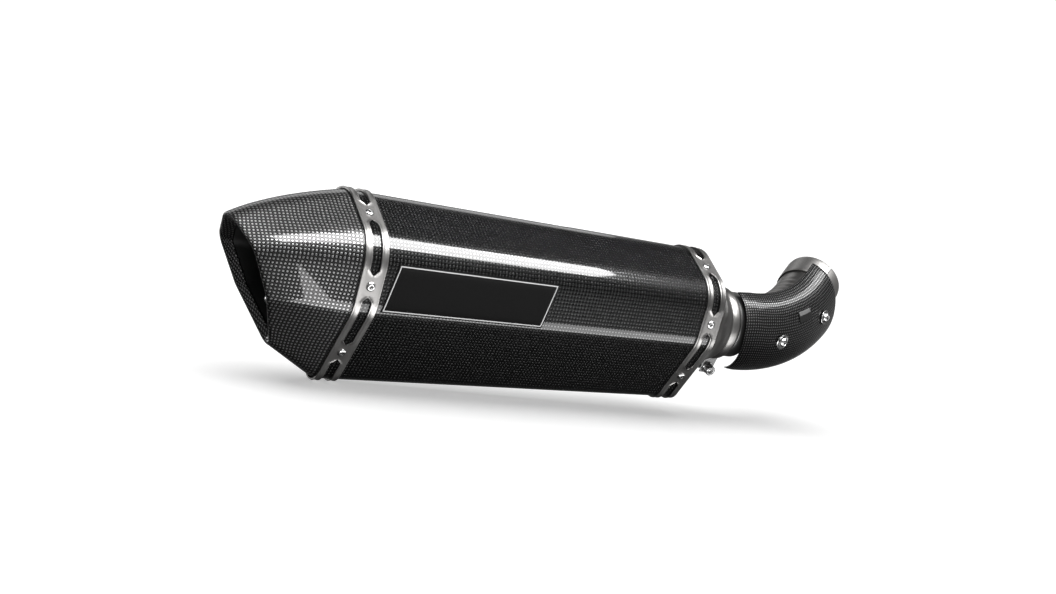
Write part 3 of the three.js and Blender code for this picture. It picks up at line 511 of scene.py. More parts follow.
class Nodes(Tree):
    """A material and the nodes that feed its shader."""

    def __init__(self, name):
        self.material = bpy.data.materials.new(name)
        super().__init__(self.material)
        self.shader = self.graph.nodes["Principled BSDF"]

    def math(self, operation, a, b=0.0):
        return self.new("Math", {0: a, 1: b}, operation=operation).outputs[0]

    def between(self, value, low, high, to_low=0.0, to_high=1.0):
        inputs = {"Value": value, "From Min": low, "From Max": high, "To Min": to_low, "To Max": to_high}
        return self.new("MapRange", inputs, interpolation_type="SMOOTHSTEP").outputs[0]

    def colour(self, share, first, second):
        node = self.new("Mix", data_type="RGBA")
        self.put(node.inputs["Factor"], share)
        self.put(node.inputs[6], first)
        self.put(node.inputs[7], second)
        return node.outputs[2]

    def noise(self, vector, scale, detail=3.0, roughness=0.5):
        inputs = {"Vector": vector, "Scale": scale, "Detail": detail, "Roughness": roughness}
        return self.new("TexNoise", inputs).outputs[0]

    def position(self):
        """The place in the frame, in millimetres."""
        texture = self.new("TexCoord").outputs["Object"]
        return self.stretched(texture, (1000, 1000, 1000))

    def stretched(self, vector, scale):
        return self.new("Mapping", {"Vector": vector, "Scale": scale}).outputs[0]

    def bump(self, height, strength, distance_mm):
        inputs = {"Height": height, "Strength": strength, "Distance": distance_mm * MM}
        self.put(self.shader.inputs["Normal"], self.new("Bump", inputs).outputs[0])

    def set(self, **values):
        for key, value in values.items():
            self.put(self.shader.inputs[key.replace("_", " ")], value)


def grey(value, warmth=0.0):
    """A grey, made warmer by a share more red and less blue."""
    return (value * (1 + warmth), value, value * (1 - warmth), 1)


def carbon_material(name, light, dark, roughness, tow):
    """Plain-weave carbon under a clear coat: crossing tows that catch the light in turn."""
    n = Nodes(name)
    uv = n.new("UVMap", uv_map="weave").outputs[0]
    turned_uv = n.new("Mapping", {"Vector": uv, "Rotation": (0, 0, WEAVE_TURN)}).outputs[0]
    wobble = n.noise(n.stretched(turned_uv, (0.04, 0.04, 0.04)), 1.0, 2.0)
    split = n.new("SeparateXYZ", {0: turned_uv})
    shift = n.between(wobble, 0.3, 0.7, -TOW_WANDER, TOW_WANDER)

    def wave_over(coordinate):
        return n.math("SINE", n.math("MULTIPLY", n.math("ADD", coordinate, shift), pi / tow))

    def with_fibres(tows, x_scale, y_scale):
        fibres = n.noise(n.stretched(turned_uv, (x_scale, y_scale, 1.0)), 1.0, 2.0)
        return n.math("MULTIPLY", tows, n.between(fibres, 0.3, 0.75, 0.72, 1.12))

    wave = n.math("MULTIPLY", wave_over(split.outputs[0]), wave_over(split.outputs[1]))
    warp = n.between(wave, 0.12, 0.6)
    weft = n.between(n.math("MULTIPLY", wave, -1.0), 0.04, 0.5)
    warp_light = with_fibres(warp, FIBRES_ALONG, FIBRES_ACROSS)
    weft_light = with_fibres(weft, FIBRES_ACROSS, FIBRES_ALONG)
    cloth = n.colour(weft_light, grey(dark), grey(lerp(dark, light, 0.1)))
    n.set(
        Base_Color=n.colour(warp_light, cloth, grey(light)),
        Roughness=n.between(warp_light, 0.0, 1.0, roughness + 0.08, roughness),
        Metallic=0.9, Coat_Weight=1.0, Coat_Roughness=COAT_ROUGHNESS, Coat_IOR=COAT_IOR,
    )
    n.shader.inputs["Base Color"].default_value = grey(dark)
    n.bump(n.math("MAXIMUM", warp, n.math("MULTIPLY", weft, 0.6)), 0.6, 0.25)
    return n.material


def metal_material(name, colour, dark, roughness, grain, grain_scale, brushed=(1, 1, 1), metallic=1.0):
    """Metal with soft cloudy tone, fine grain or brushing, and slightly duller patches."""
    n = Nodes(name)
    place_mm = n.position()
    clouds = n.noise(place_mm, 0.035, 4.0)
    fine = n.noise(n.stretched(place_mm, brushed), grain_scale, 3.0, 0.65)
    tone = n.colour(n.between(clouds, 0.35, 0.7), colour, dark)
    n.set(
        Base_Color=n.colour(n.between(fine, 0.3, 0.75, 0.0, grain), tone, grey(0.02)),
        Roughness=n.math("ADD", n.between(fine, 0.25, 0.8, -0.05, 0.07),
                         n.between(clouds, 0.3, 0.7, roughness, roughness + 0.08)),
        Metallic=metallic,
    )
    n.bump(fine, 0.25, METAL_BUMP)
    return n.material


def soft_material(name, light, dark, scale, roughness, bump):
    """Matt material: rubber, fibre or enamel, with a fine uneven surface."""
    n = Nodes(name)
    fine = n.noise(n.position(), scale, 5.0, 0.6)
    n.set(
        Base_Color=n.colour(n.between(fine, 0.3, 0.7), dark, light),
        Roughness=n.between(fine, 0.3, 0.7, roughness, roughness + 0.1),
    )
    n.bump(fine, 0.3, bump)
    return n.material


# The three carbons are one weave. The cap's and the heat shield's tows are set much lighter than the sleeve's
# to stand for the stronger light on those parts: painted light and shade, not a difference in the fibre.
CARBON = carbon_material("sleeve_carbon", 0.04, 0.0003, 0.2, SLEEVE_TOW)
CAP_CARBON = carbon_material("cap_carbon", 0.17, 0.001, 0.29, SLEEVE_TOW)
SHIELD_CARBON = carbon_material("shield_carbon", 0.24, 0.001, 0.31, SHIELD_TOW)
STRAP_TITANIUM = metal_material("strap_titanium", grey(0.2, 0.02), grey(0.16, 0.02), 0.32, 0.12, 1.6)
DISH_TITANIUM = metal_material("dish_titanium", grey(0.17, 0.02), grey(0.13, 0.02), 0.3, 0.1, 1.2, (3, 1, 1))
PIPE_TITANIUM = metal_material("pipe_titanium", grey(0.22, 0.02), grey(0.17, 0.03), 0.4, 0.2, 1.1)
CLAMP_STEEL = metal_material("clamp_steel", grey(0.16), grey(0.12), 0.32, 0.15, 1.5)
SCREW_STEEL = metal_material("fastener_steel", grey(0.4), grey(0.32), 0.22, 0.1, 2.0)
CORE_STEEL = metal_material("core_steel", grey(0.3, 0.03), grey(0.18, 0.05), 0.4, 0.25, 0.9)
BLACK_METAL = metal_material("black_metal", grey(0.02), grey(0.012), 0.38, 0.3, 0.7, metallic=0.7)
WOOL = soft_material("packing_fibre", (0.5, 0.44, 0.28, 1), (0.3, 0.25, 0.15, 1), 0.9, 0.9, 0.6)
RUBBER = soft_material("rubber", grey(0.03), grey(0.015), 1.6, 0.7, 0.05)
ENAMEL = soft_material("badge_enamel", grey(0.004), grey(0.003), 3.0, 0.16, 0.004)
BADGE_EDGE = soft_material("badge_edge", grey(0.2), grey(0.16), 3.0, 0.4, 0.004)
BADGE_PANEL = soft_material("badge_panel", grey(0.03), grey(0.02), 3.0, 0.45, 0.004)
# Near-black for the small discs set into rivet bores and the drain hole: painted shade where those holes are
# dark, not a colour of the parts.
HOLE_SHADE = soft_material("painted_hole_shade", grey(0.02), grey(0.01), 2.0, 0.6, 0.02)


# ---- screws, nuts and washers

def hexagon(angle):
    """A hexagon's radius in a direction, as a share of its radius at the corners."""
    within = (angle + pi / 6) % (pi / 3) - pi / 6
    return cos(pi / 6) / cos(within)


def socket_screw(profile, radius, depth):
    """A screw from its (radius, z) profile, tip to head rim, with a hexagonal socket in the top of its head."""
    rim, top = profile[-1]
    rings = [(rim, top, False), (radius * 1.12, top, True), (radius, top - 0.25, True),
             (radius, top - depth, True), (radius * 0.05, top - depth - 0.5, True)]
    angles = round_angles(SIDES)
    rows = [[polar(r * (hexagon(a) if hexed else 1), a, z) for a in angles] for r, z, hexed in rings]
    return turned(profile, SIDES, on_axis=True).add(loft(rows, open_ends=True))


def hexagon_nut(corner, bore, height, edge):
    """A nut from its radius at the corners, which are rounded off over an edge at both ends."""
    angles = round_angles(SIDES)
    rims = [(0, corner - 0.8 * edge), (edge, corner), (height - edge, corner), (height, corner - 0.8 * edge)]
    rows = [[polar(min(corner * hexagon(a), rim), a, z) for a in angles] for z, rim in rims]
    return loft(rows + [[polar(bore, a, z) for a in angles] for z in (height, 0)])


def washer(outer, inner, thickness):
    rim = outer - WASHER_EDGE
    high = thickness - WASHER_EDGE
    return turned([(inner, 0), (rim, 0), (outer, WASHER_EDGE), (outer, high), (rim, thickness),
                   (inner + WASHER_EDGE, thickness), (inner, high)], SIDES)


# ---- sleeve and end cap

SIDE_HOME = int((2 * PER_CORNER + ARC_PART / 2) / FINE)  # the weave is laid from the outer side corner


def build_sleeve():
    rear, front = SLEEVE_ENDS
    stations = steps(rear, front, 12)
    rings = [sleeve_ring(x, 0) for x in stations]
    rings += [sleeve_ring(x, SLEEVE_WALL) for x in reversed(stations)]
    make_piece("carbon_sleeve", loft(rings, SIDE_HOME), CARBON, ["outer_sleeve"], "carbon")


def cap_ring(t, inset, deeper=0):
    """A ring of the end cap, from the sleeve (t = 0) to the slanting rim (t = 1)."""
    share = 0.7 * t + 0.3 * t * t
    section = Section(mix_sections(sleeve_corners(CAP_START_X), RIM_SECTION, share), inset)
    ring = []
    for station in ROUND_THE_SECTION:
        y, z = section.at(station)[0]
        rim_x = RIM_X - RIM_RAKE * z - RIM_YAW * y
        ring.append(Vector((lerp(CAP_START_X, rim_x, t) + deeper, y, z)))
    return ring


def build_end_cap():
    skirt_outer = SLEEVE_WALL + SKIRT_GAP
    skirt_inner = skirt_outer + SKIRT_WALL
    rings = [cap_ring(t, 0) for t in steps(0, 0.985, 16)]
    rings += [cap_ring(1, inset, deeper) for inset, deeper in LIP_PROFILE]
    rings += [cap_ring(t, CAP_WALL) for t in reversed(steps(0.1, 0.94, 8))]
    rings += [sleeve_ring(CAP_START_X - 1, skirt_inner), sleeve_ring(SKIRT_END_X, skirt_inner)]
    rings += [sleeve_ring(SKIRT_END_X, skirt_outer), sleeve_ring(CAP_START_X, skirt_outer)]
    make_piece("carbon_end_cap", loft(rings, SIDE_HOME), CAP_CARBON, ["end_cap"], "carbon")


def cup_ring(share, wall):
    rim = cap_ring(1, CUP_RIM[0] + wall, CUP_RIM[1])
    neck = round_ring(CUP_NECK[0], CUP_NECK[1] - wall)
    return mix_rings(rim, neck, share)


def build_outlet_cup():
    shares = steps(0, 1, 12)
    rings = [cup_ring(share, 0) for share in shares]
    rings += [round_ring(CUP_END_X, CUP_NECK[1]), round_ring(CUP_END_X, CUP_NECK[1] - CUP_WALL)]
    rings += [cup_ring(share, CUP_WALL) for share in reversed(shares)]
    make_piece("black_outlet_cup", loft(rings), BLACK_METAL, ["outlet_cup"], "black_metal")


def build_cup_screw():
    index = int(CUP_SCREW_STATION / FINE)
    ring = cup_ring(CUP_SCREW_SHARE, CUP_WALL)
    position = ring[index]
    along = cup_ring(CUP_SCREW_SHARE + 0.05, CUP_WALL)[index] - position
    normal = along.cross(ring[index + 1] - ring[index - 1]).normalized()
    profile = [(0, -8), (2.1, -8), (2.5, -7.5), (2.5, 0), (4.6, 0), (4.6, 0.6), (4.4, 1.4), (3.9, 1.95),
               (3.2, 2.35)]
    screw = socket_screw(profile, 1.8, 1.4).moved(stand_on(position + normal * 0.6, normal))
    make_piece("cup_button_screw", screw, SCREW_STEEL, ["cup_screw"], "fastener")


def build_damper():
    rear, step, end = DAMPER_REAR_X, DAMPER_REAR_X + 3, DAMPER_REAR_X + 38
    flange, tube, bore = 25.7, 23.9, 19
    profile = [(bore, rear + 0.8), (bore + 0.8, rear), (flange - 0.6, rear), (flange, rear + 0.6),
               (flange, step), (tube, step), (tube, end), (bore, end)]
    surface = turned(profile).moved(Matrix.Rotation(pi / 2, 4, "Y"))
    make_piece("damper_tube", surface, BLACK_METAL, ["noise_damper"], "black_metal")


# ---- straps and rivets

def station_lengths(x):
    """The length round the section to each fine station, over two turns."""
    ring = sleeve_ring(x, 0)
    lengths = [0.0]
    for i in range(2 * len(ring)):
        lengths.append(lengths[-1] + (ring[(i + 1) % len(ring)] - ring[i % len(ring)]).length)
    return lengths


def length_at(lengths, station):
    index = station / FINE
    low = int(index)
    return lerp(lengths[low], lengths[low + 1], index - low)


def station_at(lengths, length):
    low = bisect_right(lengths, length) - 1
    return (low + (length - lengths[low]) / (lengths[low + 1] - lengths[low])) * FINE


def rivet_station(i):
    return PER_CORNER * i + ARC_PART + (PER_CORNER - ARC_PART) * RIVET_SHARES[i]


def strap_stations(x):
    """Stations round a strap with the half-width of its window at each: six pointed windows between rivets."""
    lengths = station_lengths(x)
    stations, half_widths = [], []
    for i in range(6):
        here = length_at(lengths, rivet_station(i))
        after = rivet_station(i + 1) if i < 5 else rivet_station(0) + STATIONS
        there = length_at(lengths, after)
        start, end = here + WINDOW_TO_RIVET, there - WINDOW_TO_RIVET
        wide, narrow = start + WINDOW_POINT, end - WINDOW_POINT
        for low, high, count in [(here, start, 6), (start, wide, 5), (wide, narrow, 24), (narrow, end, 5),
                                 (end, there, 6)]:
            for length in steps(low, high, count)[:-1]:
                inside = min(length - start, end - length)
                share = min(max(inside / WINDOW_POINT, 0), 1)
                stations.append(station_at(lengths, length))
                half_widths.append(0.0 if share < 1e-6 else WINDOW_HALF_WIDTH * share ** 0.85)
    return stations, half_widths


def bead(distance):
    """How far a strap's pressed border stands out at a distance from its edge."""
    rise = smoothstep(distance, -0.25, 0.35)
    return BEAD_HEIGHT * rise * (1 - smoothstep(distance, BEAD_WIDTH * 0.55, BEAD_WIDTH + 0.5))


def strap_columns(half_width, edges):
    """Distances across a strap from its middle with the lift of each point, from its rear edge to its front."""
    rear_edge, front_edge = edges
    half = STRAP_WIDTH / 2
    span = half - half_width
    window_bead = smoothstep(half_width, 0, BEAD_WIDTH)
    side = EDGE_STEPS + [span / 2] + [span - step for step in reversed(EDGE_STEPS)]

    def lift(distance, edge):
        return bead(distance) * edge + bead(span - distance) * window_bead

    rear = [(distance - half, lift(distance, rear_edge)) for distance in side]
    return rear + [(half - distance, lift(distance, front_edge)) for distance in reversed(side)]


def strap_surface(x, edges):
    """A strap with windows. edges says whether its rear and its front edge have a bead."""
    stations, half_widths = strap_stations(x)
    outer, inner = [], []
    for station, half_width in zip(stations, half_widths):
        outer_row, inner_row = [], []
        for dx, lift in strap_columns(half_width, edges):
            section = sleeve_section(x + dx)
            outer_row.append(stand_off(x + dx, section, station, STRAP_OUT + lift)[0])
            inner_row.append(stand_off(x + dx, section, station, STRAP_LIFT)[0])
        outer.append(outer_row)
        inner.append(inner_row)
    middle = len(outer[0]) // 2 - 1

    def state(i, j):
        if j != middle:
            return "solid"
        after = half_widths[(i + 1) % len(half_widths)]
        return "open" if max(half_widths[i], after) > 0 else "shut"

    surface = shell(outer + outer[:1], inner + inner[:1], state)
    count, columns = len(surface.points) // 2, len(outer[0])

    def is_end_wall(face):
        """Whether a face is in the wall where the last row meets the first."""
        on_outer = [i for i in face if i < count]
        if len(on_outer) != 2:
            return False
        return max(on_outer) < columns or min(on_outer) >= count - columns

    surface.drop(is_end_wall)
    return surface


def build_rear_strap():
    surface = strap_surface(0, (1, 1))
    make_piece("titanium_rear_strap", surface, STRAP_TITANIUM, ["rear_strap"], "titanium", sharp=40)


def on_strap(x, station):
    """The matrix that stands a turned part on a strap's outer face."""
    return stand_on(*stand_off(x, sleeve_section(x), station, STRAP_OUT))


def build_rivets():
    head = [(1.35, -1.2), (1.35, 1.0), (1.6, 1.38), (2.1, 1.5), (2.6, 1.44), (3.3, 1.1), (3.85, 0.62),
            (4.0, 0.3), (3.9, 0.1), (2.3, 0.1), (2.3, -3.2), (1.0, -3.2), (1.0, -1.2)]
    # A near-black disc down in each rivet's bore: painted shade for its hollow centre.
    core = [(0, -0.35), (0.7, -0.45), (1.3, -0.8), (1.3, -1.1), (0, -1.1)]
    for row, x in (("rear", 0), ("front", STRAP_PITCH)):
        for i in range(1, 7):
            seat = on_strap(x, rivet_station(i - 1))
            make_piece(f"{row}_rivet_head_{i}", turned(head, 32).moved(seat), SCREW_STEEL,
                       [f"{row}_rivet_{i}"], "fastener")
            hole = turned(core, 16, on_axis=True).moved(seat)
            make_piece(f"{row}_rivet_hole_shade_{i}", hole, HOLE_SHADE, [], "fastener")


def build_drain_hole():
    # A near-black disc sunk into the front strap: painted shade that stands in for the drain hole.
    profile = [(0, -0.1), (0.9, -0.1), (1.2, 0.04), (1.3, 0.05), (1.3, -0.9), (0, -0.9)]
    seat = on_strap(STRAP_PITCH + DRAIN_OFFSET, rivet_station(DRAIN_RIVET))
    hole = turned(profile, 24, on_axis=True).moved(seat)
    make_piece("drain_hole_shade", hole, HOLE_SHADE, [], "titanium")


# ---- inlet end

def build_inlet_cap():
    """The front strap, with the dish that goes on from its front edge to the neck and flange."""
    surface = strap_surface(STRAP_PITCH, (1, 0))
    stations = strap_stations(STRAP_PITCH)[0]
    edge_x = STRAP_PITCH + STRAP_WIDTH / 2
    outside, inside = sleeve_section(edge_x, -STRAP_OUT), sleeve_section(edge_x, -STRAP_LIFT)

    def dish(section, x, share, radius):
        flat = [Vector((x, *section.at(p)[0])) for p in stations]
        return mix_rings(flat, round_ring(x, radius, stations), share)

    def is_front_wall(face):
        return all(abs(surface.points[i].x - edge_x) < 1e-6 for i in face)

    curve = through(DISH_SHAPE, 5)
    rings = [dish(outside, x, min(share, 1), DISH_NECK) for x, share in curve]
    rings += [round_ring(x, r, stations) for x, r in NECK_PROFILE]
    rings += [dish(inside, x - 1, min(share, 1), DISH_NECK - DISH_WALL) for x, share in reversed(curve[3:-1])]
    rings.append(dish(inside, edge_x, 0, DISH_NECK))
    surface.add(loft(rings, open_ends=True))
    surface.drop(is_front_wall)
    make_piece("titanium_inlet_cap", surface, DISH_TITANIUM, ["inlet_cap"], "titanium", sharp=40)


def slotted_tube(outer, inner, length, slot_width, slot_length, slot_angles, ring_at):
    """A tube with open slots at its far end. ring_at(s, angle, radius) gives the points."""
    half_slot = slot_width / 2 / outer
    angles = [(b + side * half_slot) % tau for b in slot_angles for side in (-2.6, -1, 1, 2.6)]
    for a in steps(0, tau, PIPE_SIDES)[:-1]:
        if all(angle_between(a, b) > 3.2 * half_slot for b in slot_angles):
            angles.append(a)
    angles.sort()
    stops = steps(0, length - slot_length, 8) + steps(length - slot_length, length, 6)[1:]

    def rows(radius, trim):
        return [[ring_at(s, a, radius - trim * smoothstep(s, length - 0.8, length)) for a in angles]
                for s in stops]

    def state(i, j):
        middle = (angles[j] + (angles[(j + 1) % len(angles)] - angles[j]) % tau / 2) % tau
        in_slot = any(angle_between(middle, b) < half_slot for b in slot_angles)
        return "open" if in_slot and stops[i] >= length - slot_length - 1e-6 else "solid"

    return shell(rows(outer, 0.4), rows(inner, -0.2), state, wrap=True)


def build_inlet_sleeve():
    start, end = INLET_ENDS

    def ring_at(s, angle, radius):
        return Vector((start + s, radius * cos(angle), radius * sin(angle)))

    slots = [pi / 4 + k * pi / 2 for k in range(4)]
    surface = slotted_tube(INLET_OUTER, INLET_INNER, end - start, *INLET_SLOT, slots, ring_at)
    make_piece("titanium_inlet_sleeve", surface, PIPE_TITANIUM, ["inlet_sleeve"], "pipe_titanium")


# ---- clamp

CLAMP_FRAME = Matrix.Translation((CLAMP_X, 0, 0)) @ Matrix.Rotation(CLAMP_TURN, 4, "X")


def build_clamp_band():
    """A band whose two ends turn down into ears, with a rounded bend between."""
    half_gap = EAR_GAP / 2

    def side(radius, offset):
        """Points of one face of the band in the (y, z) plane, from one ear's end round to the other's."""
        turn = asin((half_gap + offset + 1.2) / radius)
        arc = [(radius * cos(a), radius * sin(a))
               for a in steps(-pi / 2 + turn, 1.5 * pi - turn, 72)]
        ear = [(half_gap + offset, -z) for z in steps(EAR_END, radius + EAR_BEND, 6)]
        return ear + arc + [(-y, z) for y, z in reversed(ear)]

    outer, inner = side(CLAMP_INNER + CLAMP_WALL, CLAMP_WALL), side(CLAMP_INNER, 0)
    edge, bevel = CLAMP_WIDTH / 2, CLAMP_BEVEL
    edges = [(-edge, bevel), (bevel - edge, 0), (edge - bevel, 0), (edge, bevel)]

    def grid(face, other):
        """One face's points over the band's width, its bevelled edges dipping towards the other face."""
        rows = []
        for (y, z), (yo, zo) in zip(face, other):
            toward = (Vector((yo, zo)) - Vector((y, z))).normalized()
            rows.append([Vector((x, y + toward.x * dip, z + toward.y * dip)) for x, dip in edges])
        return rows

    surface = shell(grid(outer, inner), grid(inner, outer)).moved(CLAMP_FRAME)
    make_piece("clamp_strap", surface, CLAMP_STEEL, ["clamp_band"], "clamp_steel", "clamp")


def along_bolt(surface, offset):
    """Lays a turned part along the clamp's bolt, at a distance towards -Y from the clamp's middle plane."""
    laid = Matrix.Translation((0, -offset, -BOLT_DEPTH)) @ Matrix.Rotation(pi / 2, 4, "X")
    return surface.moved(CLAMP_FRAME @ laid)


def build_clamp_fasteners():
    ear_face = EAR_GAP / 2 + CLAMP_WALL
    bolt = along_bolt(socket_screw(BOLT_PROFILE, 2.9, 3), ear_face + BOLT_SEAT)
    make_piece("clamp_cap_screw", bolt, SCREW_STEEL, ["clamp_bolt"], "fastener", "clamp")
    flat = along_bolt(washer(6, 3.2, 1.2), ear_face + WASHER_SEAT)
    make_piece("clamp_flat_washer", flat, SCREW_STEEL, ["clamp_washer"], "fastener", "clamp")
    nut = along_bolt(hexagon_nut(5.6, 3.2, 5, 0.5), -ear_face - NUT_SEAT)
    make_piece("clamp_hexagon_nut", nut, SCREW_STEEL, ["clamp_nut"], "fastener", "clamp", sharp=20)


# ---- link pipe

LEAN = Vector((0, sin(BEND_LEAN), cos(BEND_LEAN)))


def on_pipe(s):
    """Centre, tangent, inward and across directions of the pipe at a distance from its inner end."""
    turn = min(max((s - PIPE_STRAIGHT) / BEND_RADIUS, 0), BEND_ANGLE)
    tangent = Vector((cos(turn), 0, 0)) + LEAN * sin(turn)
    inward = Vector((-sin(turn), 0, 0)) + LEAN * cos(turn)
    centre = Vector((PIPE_START_X + min(s, PIPE_STRAIGHT) + BEND_RADIUS * sin(turn), 0, 0))
    centre += LEAN * (BEND_RADIUS * (1 - cos(turn)))
    centre += tangent * max(0, s - PIPE_STRAIGHT - BEND_LENGTH)
    return centre, tangent, inward, tangent.cross(inward)


def beside_pipe(s, angle, radius):
    """A point round the pipe, its angle counted from the inside of the bend, and the direction out to it."""
    centre, _, inward, across = on_pipe(s)
    outward = inward * cos(angle) + across * sin(angle)
    return centre + outward * radius, outward


def bend_wrinkle(s, angle):
    """Soft ripples on the inside of the bend, as a bent thin-walled tube has."""
    inside = smoothstep(cos(angle), -0.1, 0.9)
    in_bend = smoothstep(s, PIPE_STRAIGHT, PIPE_STRAIGHT + 14)
    in_bend *= 1 - smoothstep(s, PIPE_STRAIGHT + BEND_LENGTH - 8, PIPE_STRAIGHT + BEND_LENGTH + 6)
    ripple = sin(tau * s / RIPPLE_LENGTH + 0.5 * sin(3 * angle))
    return RIPPLE_HEIGHT * inside * in_bend * ripple


def pipe_row(s, radius, wrinkled=False):
    angles = round_angles(PIPE_SIDES)
    return [beside_pipe(s, a, radius + (bend_wrinkle(s, a) if wrinkled else 0))[0] for a in angles]


def build_link_pipe():
    end = PIPE_LENGTH - SLIP_SOCKET
    stops = steps(0, end, 110)
    rings = [pipe_row(s, PIPE_RADIUS - 0.4 * (1 - smoothstep(s, 0, 1)), True) for s in stops]
    rings += [pipe_row(s, PIPE_RADIUS - PIPE_WALL) for s in reversed(steps(0, end, 24))]
    make_piece("titanium_link_pipe", loft(rings), PIPE_TITANIUM, ["link_pipe"], "pipe_titanium", "link_pipe")


def build_slip_ring():
    outer, inner, length = SLIP_RING
    start = PIPE_LENGTH - length

    def ring_at(s, angle, radius):
        trim = 0.35 * (1 - smoothstep(s, 0, 1.2)) if radius > inner + 0.5 else 0
        return beside_pipe(start + s, angle, radius - trim)[0]

    surface = slotted_tube(outer, inner, length, *SLIP_SLOT, [pi / 2, 1.5 * pi], ring_at)
    make_piece("slotted_slip_ring", surface, PIPE_TITANIUM, ["slip_ring"], "pipe_titanium", "link_pipe")


# ---- heat shield

def shield_radius(angle, s):
    lower = smoothstep(angle, radians(130), SHIELD_EDGES[1])
    return SHIELD_RADIUS + SHIELD_BELLY * lower - 1.5 * max(0, 1 - (s - 20) / 16)


def build_heat_shield():
    def grid(wall):
        """Rows of points from the upper edge to the lower one, the outer face rolled in at its edges."""
        rows = []
        for share in steps(0, 1, SHIELD_ROWS):
            angle = lerp(*SHIELD_EDGES, share)
            start = SHIELD_START + SHIELD_START_RAKE * max(0, share - 0.5) ** 1.2
            end = SHIELD_END + SHIELD_END_RAKE * share ** 1.6
            row = []
            for s in steps(start, end, SHIELD_COLUMNS):
                edge = min(s - start, end - s, min(share, 1 - share) * 100)
                rolled = 0.5 * (1 - smoothstep(edge, 0, 1.6)) if wall == 0 else 0
                row.append(beside_pipe(s, angle, shield_radius(angle, s) - wall - rolled)[0])
            rows.append(row)
        return rows

    outer, inner = grid(0), grid(SHIELD_WALL)
    hole_centres = [beside_pipe(s, angle, shield_radius(angle, s))[0] for s, angle in SHIELD_SCREWS]

    def state(i, j):
        middle = (outer[i][j] + outer[i + 1][j + 1]) / 2
        return "open" if any((middle - c).length < SHIELD_HOLE for c in hole_centres) else "solid"

    surface = shell(outer, inner, state)
    make_piece("carbon_heat_shield", surface, SHIELD_CARBON, ["heat_shield"], "carbon", "link_pipe")


def build_shield_fasteners():
    for number, (s, angle) in enumerate(SHIELD_SCREWS, 1):
        outer = shield_radius(angle, s)
        seat = outer - SHIELD_WALL - SHIELD_RUBBER[2] - SHIELD_RUBBER_GAP
        head_seat = outer + 2
        top = seat - 0.3 - PIPE_RADIUS
        tip = PIPE_RADIUS + 3 - head_seat
        boss = [(0, 2.5), (3.1, 2.5), (3.1, top), (5.6, top), (6, top - 0.4), (6, 0.5), (7.2, -0.4), (7.2, -1),
                (0, -1)]
        screw = [(0, tip), (2.2, tip), (2.7, tip + 0.6), (2.7, 0), (4.8, 0), (4.8, 0.6), (4.62, 1.35),
                 (4.1, 2.1), (3.4, 2.7), (2.9, 3)]
        standoff = turned(boss, SIDES, on_axis=True)
        for piece, surface, radius, material, node, slot in [
            ("standoff", standoff, PIPE_RADIUS, PIPE_TITANIUM, "boss", "pipe_titanium"),
            ("rubber", washer(*SHIELD_RUBBER), seat, RUBBER, "grommet", "rubber"),
            ("cup_washer", turned(SHIELD_CUP, SIDES), outer + 0.9, SCREW_STEEL, "washer", "fastener"),
            ("button_screw", socket_screw(screw, 2, 2), head_seat, SCREW_STEEL, "screw", "fastener"),
        ]:
            surface.moved(stand_on(*beside_pipe(s, angle, radius)))
            nodes = [f"shield_{node}_{number}"]
            make_piece(f"shield_{piece}_{number}", surface, material, nodes, slot, "link_pipe")


# ---- badges

def plate(point, alongs, acrosses, bottom, top):
    """A thin plate that lies on a surface. point(along, across, lift) gives its points."""
    outer, inner = [[[point(a, b, lift) for a in alongs] for b in acrosses] for lift in (top, bottom)]
    return shell(outer, inner)


def build_sleeve_badge():
    """A blank black plate with a thin pale outline, on the sleeve's outer side."""
    middle_lengths = station_lengths((BADGE_REAR + BADGE_FRONT) / 2)
    middle = length_at(middle_lengths, rivet_station(1))
    turn = length_at(middle_lengths, STATIONS)
    cache = {}

    def point(along, across, lift):
        x = lerp(BADGE_REAR, BADGE_FRONT, along) - BADGE_SLANT * across
        if x not in cache:
            cache[x] = (sleeve_section(x), station_lengths(x))
        section, lengths = cache[x]
        length = (middle + across * BADGE_HEIGHT) * length_at(lengths, STATIONS) / turn
        return stand_off(x, section, station_at(lengths, length), lift)[0]

    surface = plate(point, steps(0, 1, 12), steps(-0.5, 0.5, 16), 0.25, 0.6)
    make_piece("sleeve_badge_plate", surface, ENAMEL, ["sleeve_badge"], "enamel")
    length = BADGE_FRONT - BADGE_REAR
    side, end = BADGE_LINE / BADGE_HEIGHT, BADGE_LINE / length
    low, high = BADGE_INSET / length, 1 - BADGE_INSET / length
    down, up = -0.5 + BADGE_INSET / BADGE_HEIGHT, 0.5 - BADGE_INSET / BADGE_HEIGHT
    edge = Surface()
    for alongs, acrosses in [
        (steps(low, high, 12), [down, down + side]),
        (steps(low, high, 12), [up - side, up]),
        ([low, low + end], steps(down, up, 16)),
        ([high - end, high], steps(down, up, 16)),
    ]:
        edge.add(plate(point, alongs, acrosses, 0.6, 0.68))
    make_piece("sleeve_badge_outline", edge, BADGE_EDGE, [], "enamel")


def build_shield_badge():
    """A blank black square with a slightly paler panel."""
    def point(s, degrees, lift):
        return beside_pipe(s, radians(degrees), SHIELD_RADIUS + lift)[0]

    square = plate(point, steps(86, 104, 8), steps(102, 119, 8), 0.4, 0.8)
    make_piece("shield_badge_plate", square, ENAMEL, ["shield_badge"], "enamel", "link_pipe")
    panel = plate(point, steps(87, 103, 8), steps(103.4, 109.5, 8), 0.8, 0.9)
    make_piece("shield_badge_panel", panel, BADGE_PANEL, [], "enamel", "link_pipe")


# ---- carried-over CAD nodes, stage, lights, camera

def dress_cad_nodes():
    """Gives the hidden inner parts, whose CAD shapes are kept, their materials."""
    for node in ["perforated_core", "rear_baffle", "front_baffle", "cup_nut", "packing_wool"]:
        material = WOOL if node == "packing_wool" else CORE_STEEL
        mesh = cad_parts[node].data
        if not mesh.materials:
            mesh.materials.append(material)
        for k in range(len(mesh.materials)):
            mesh.materials[k] = material


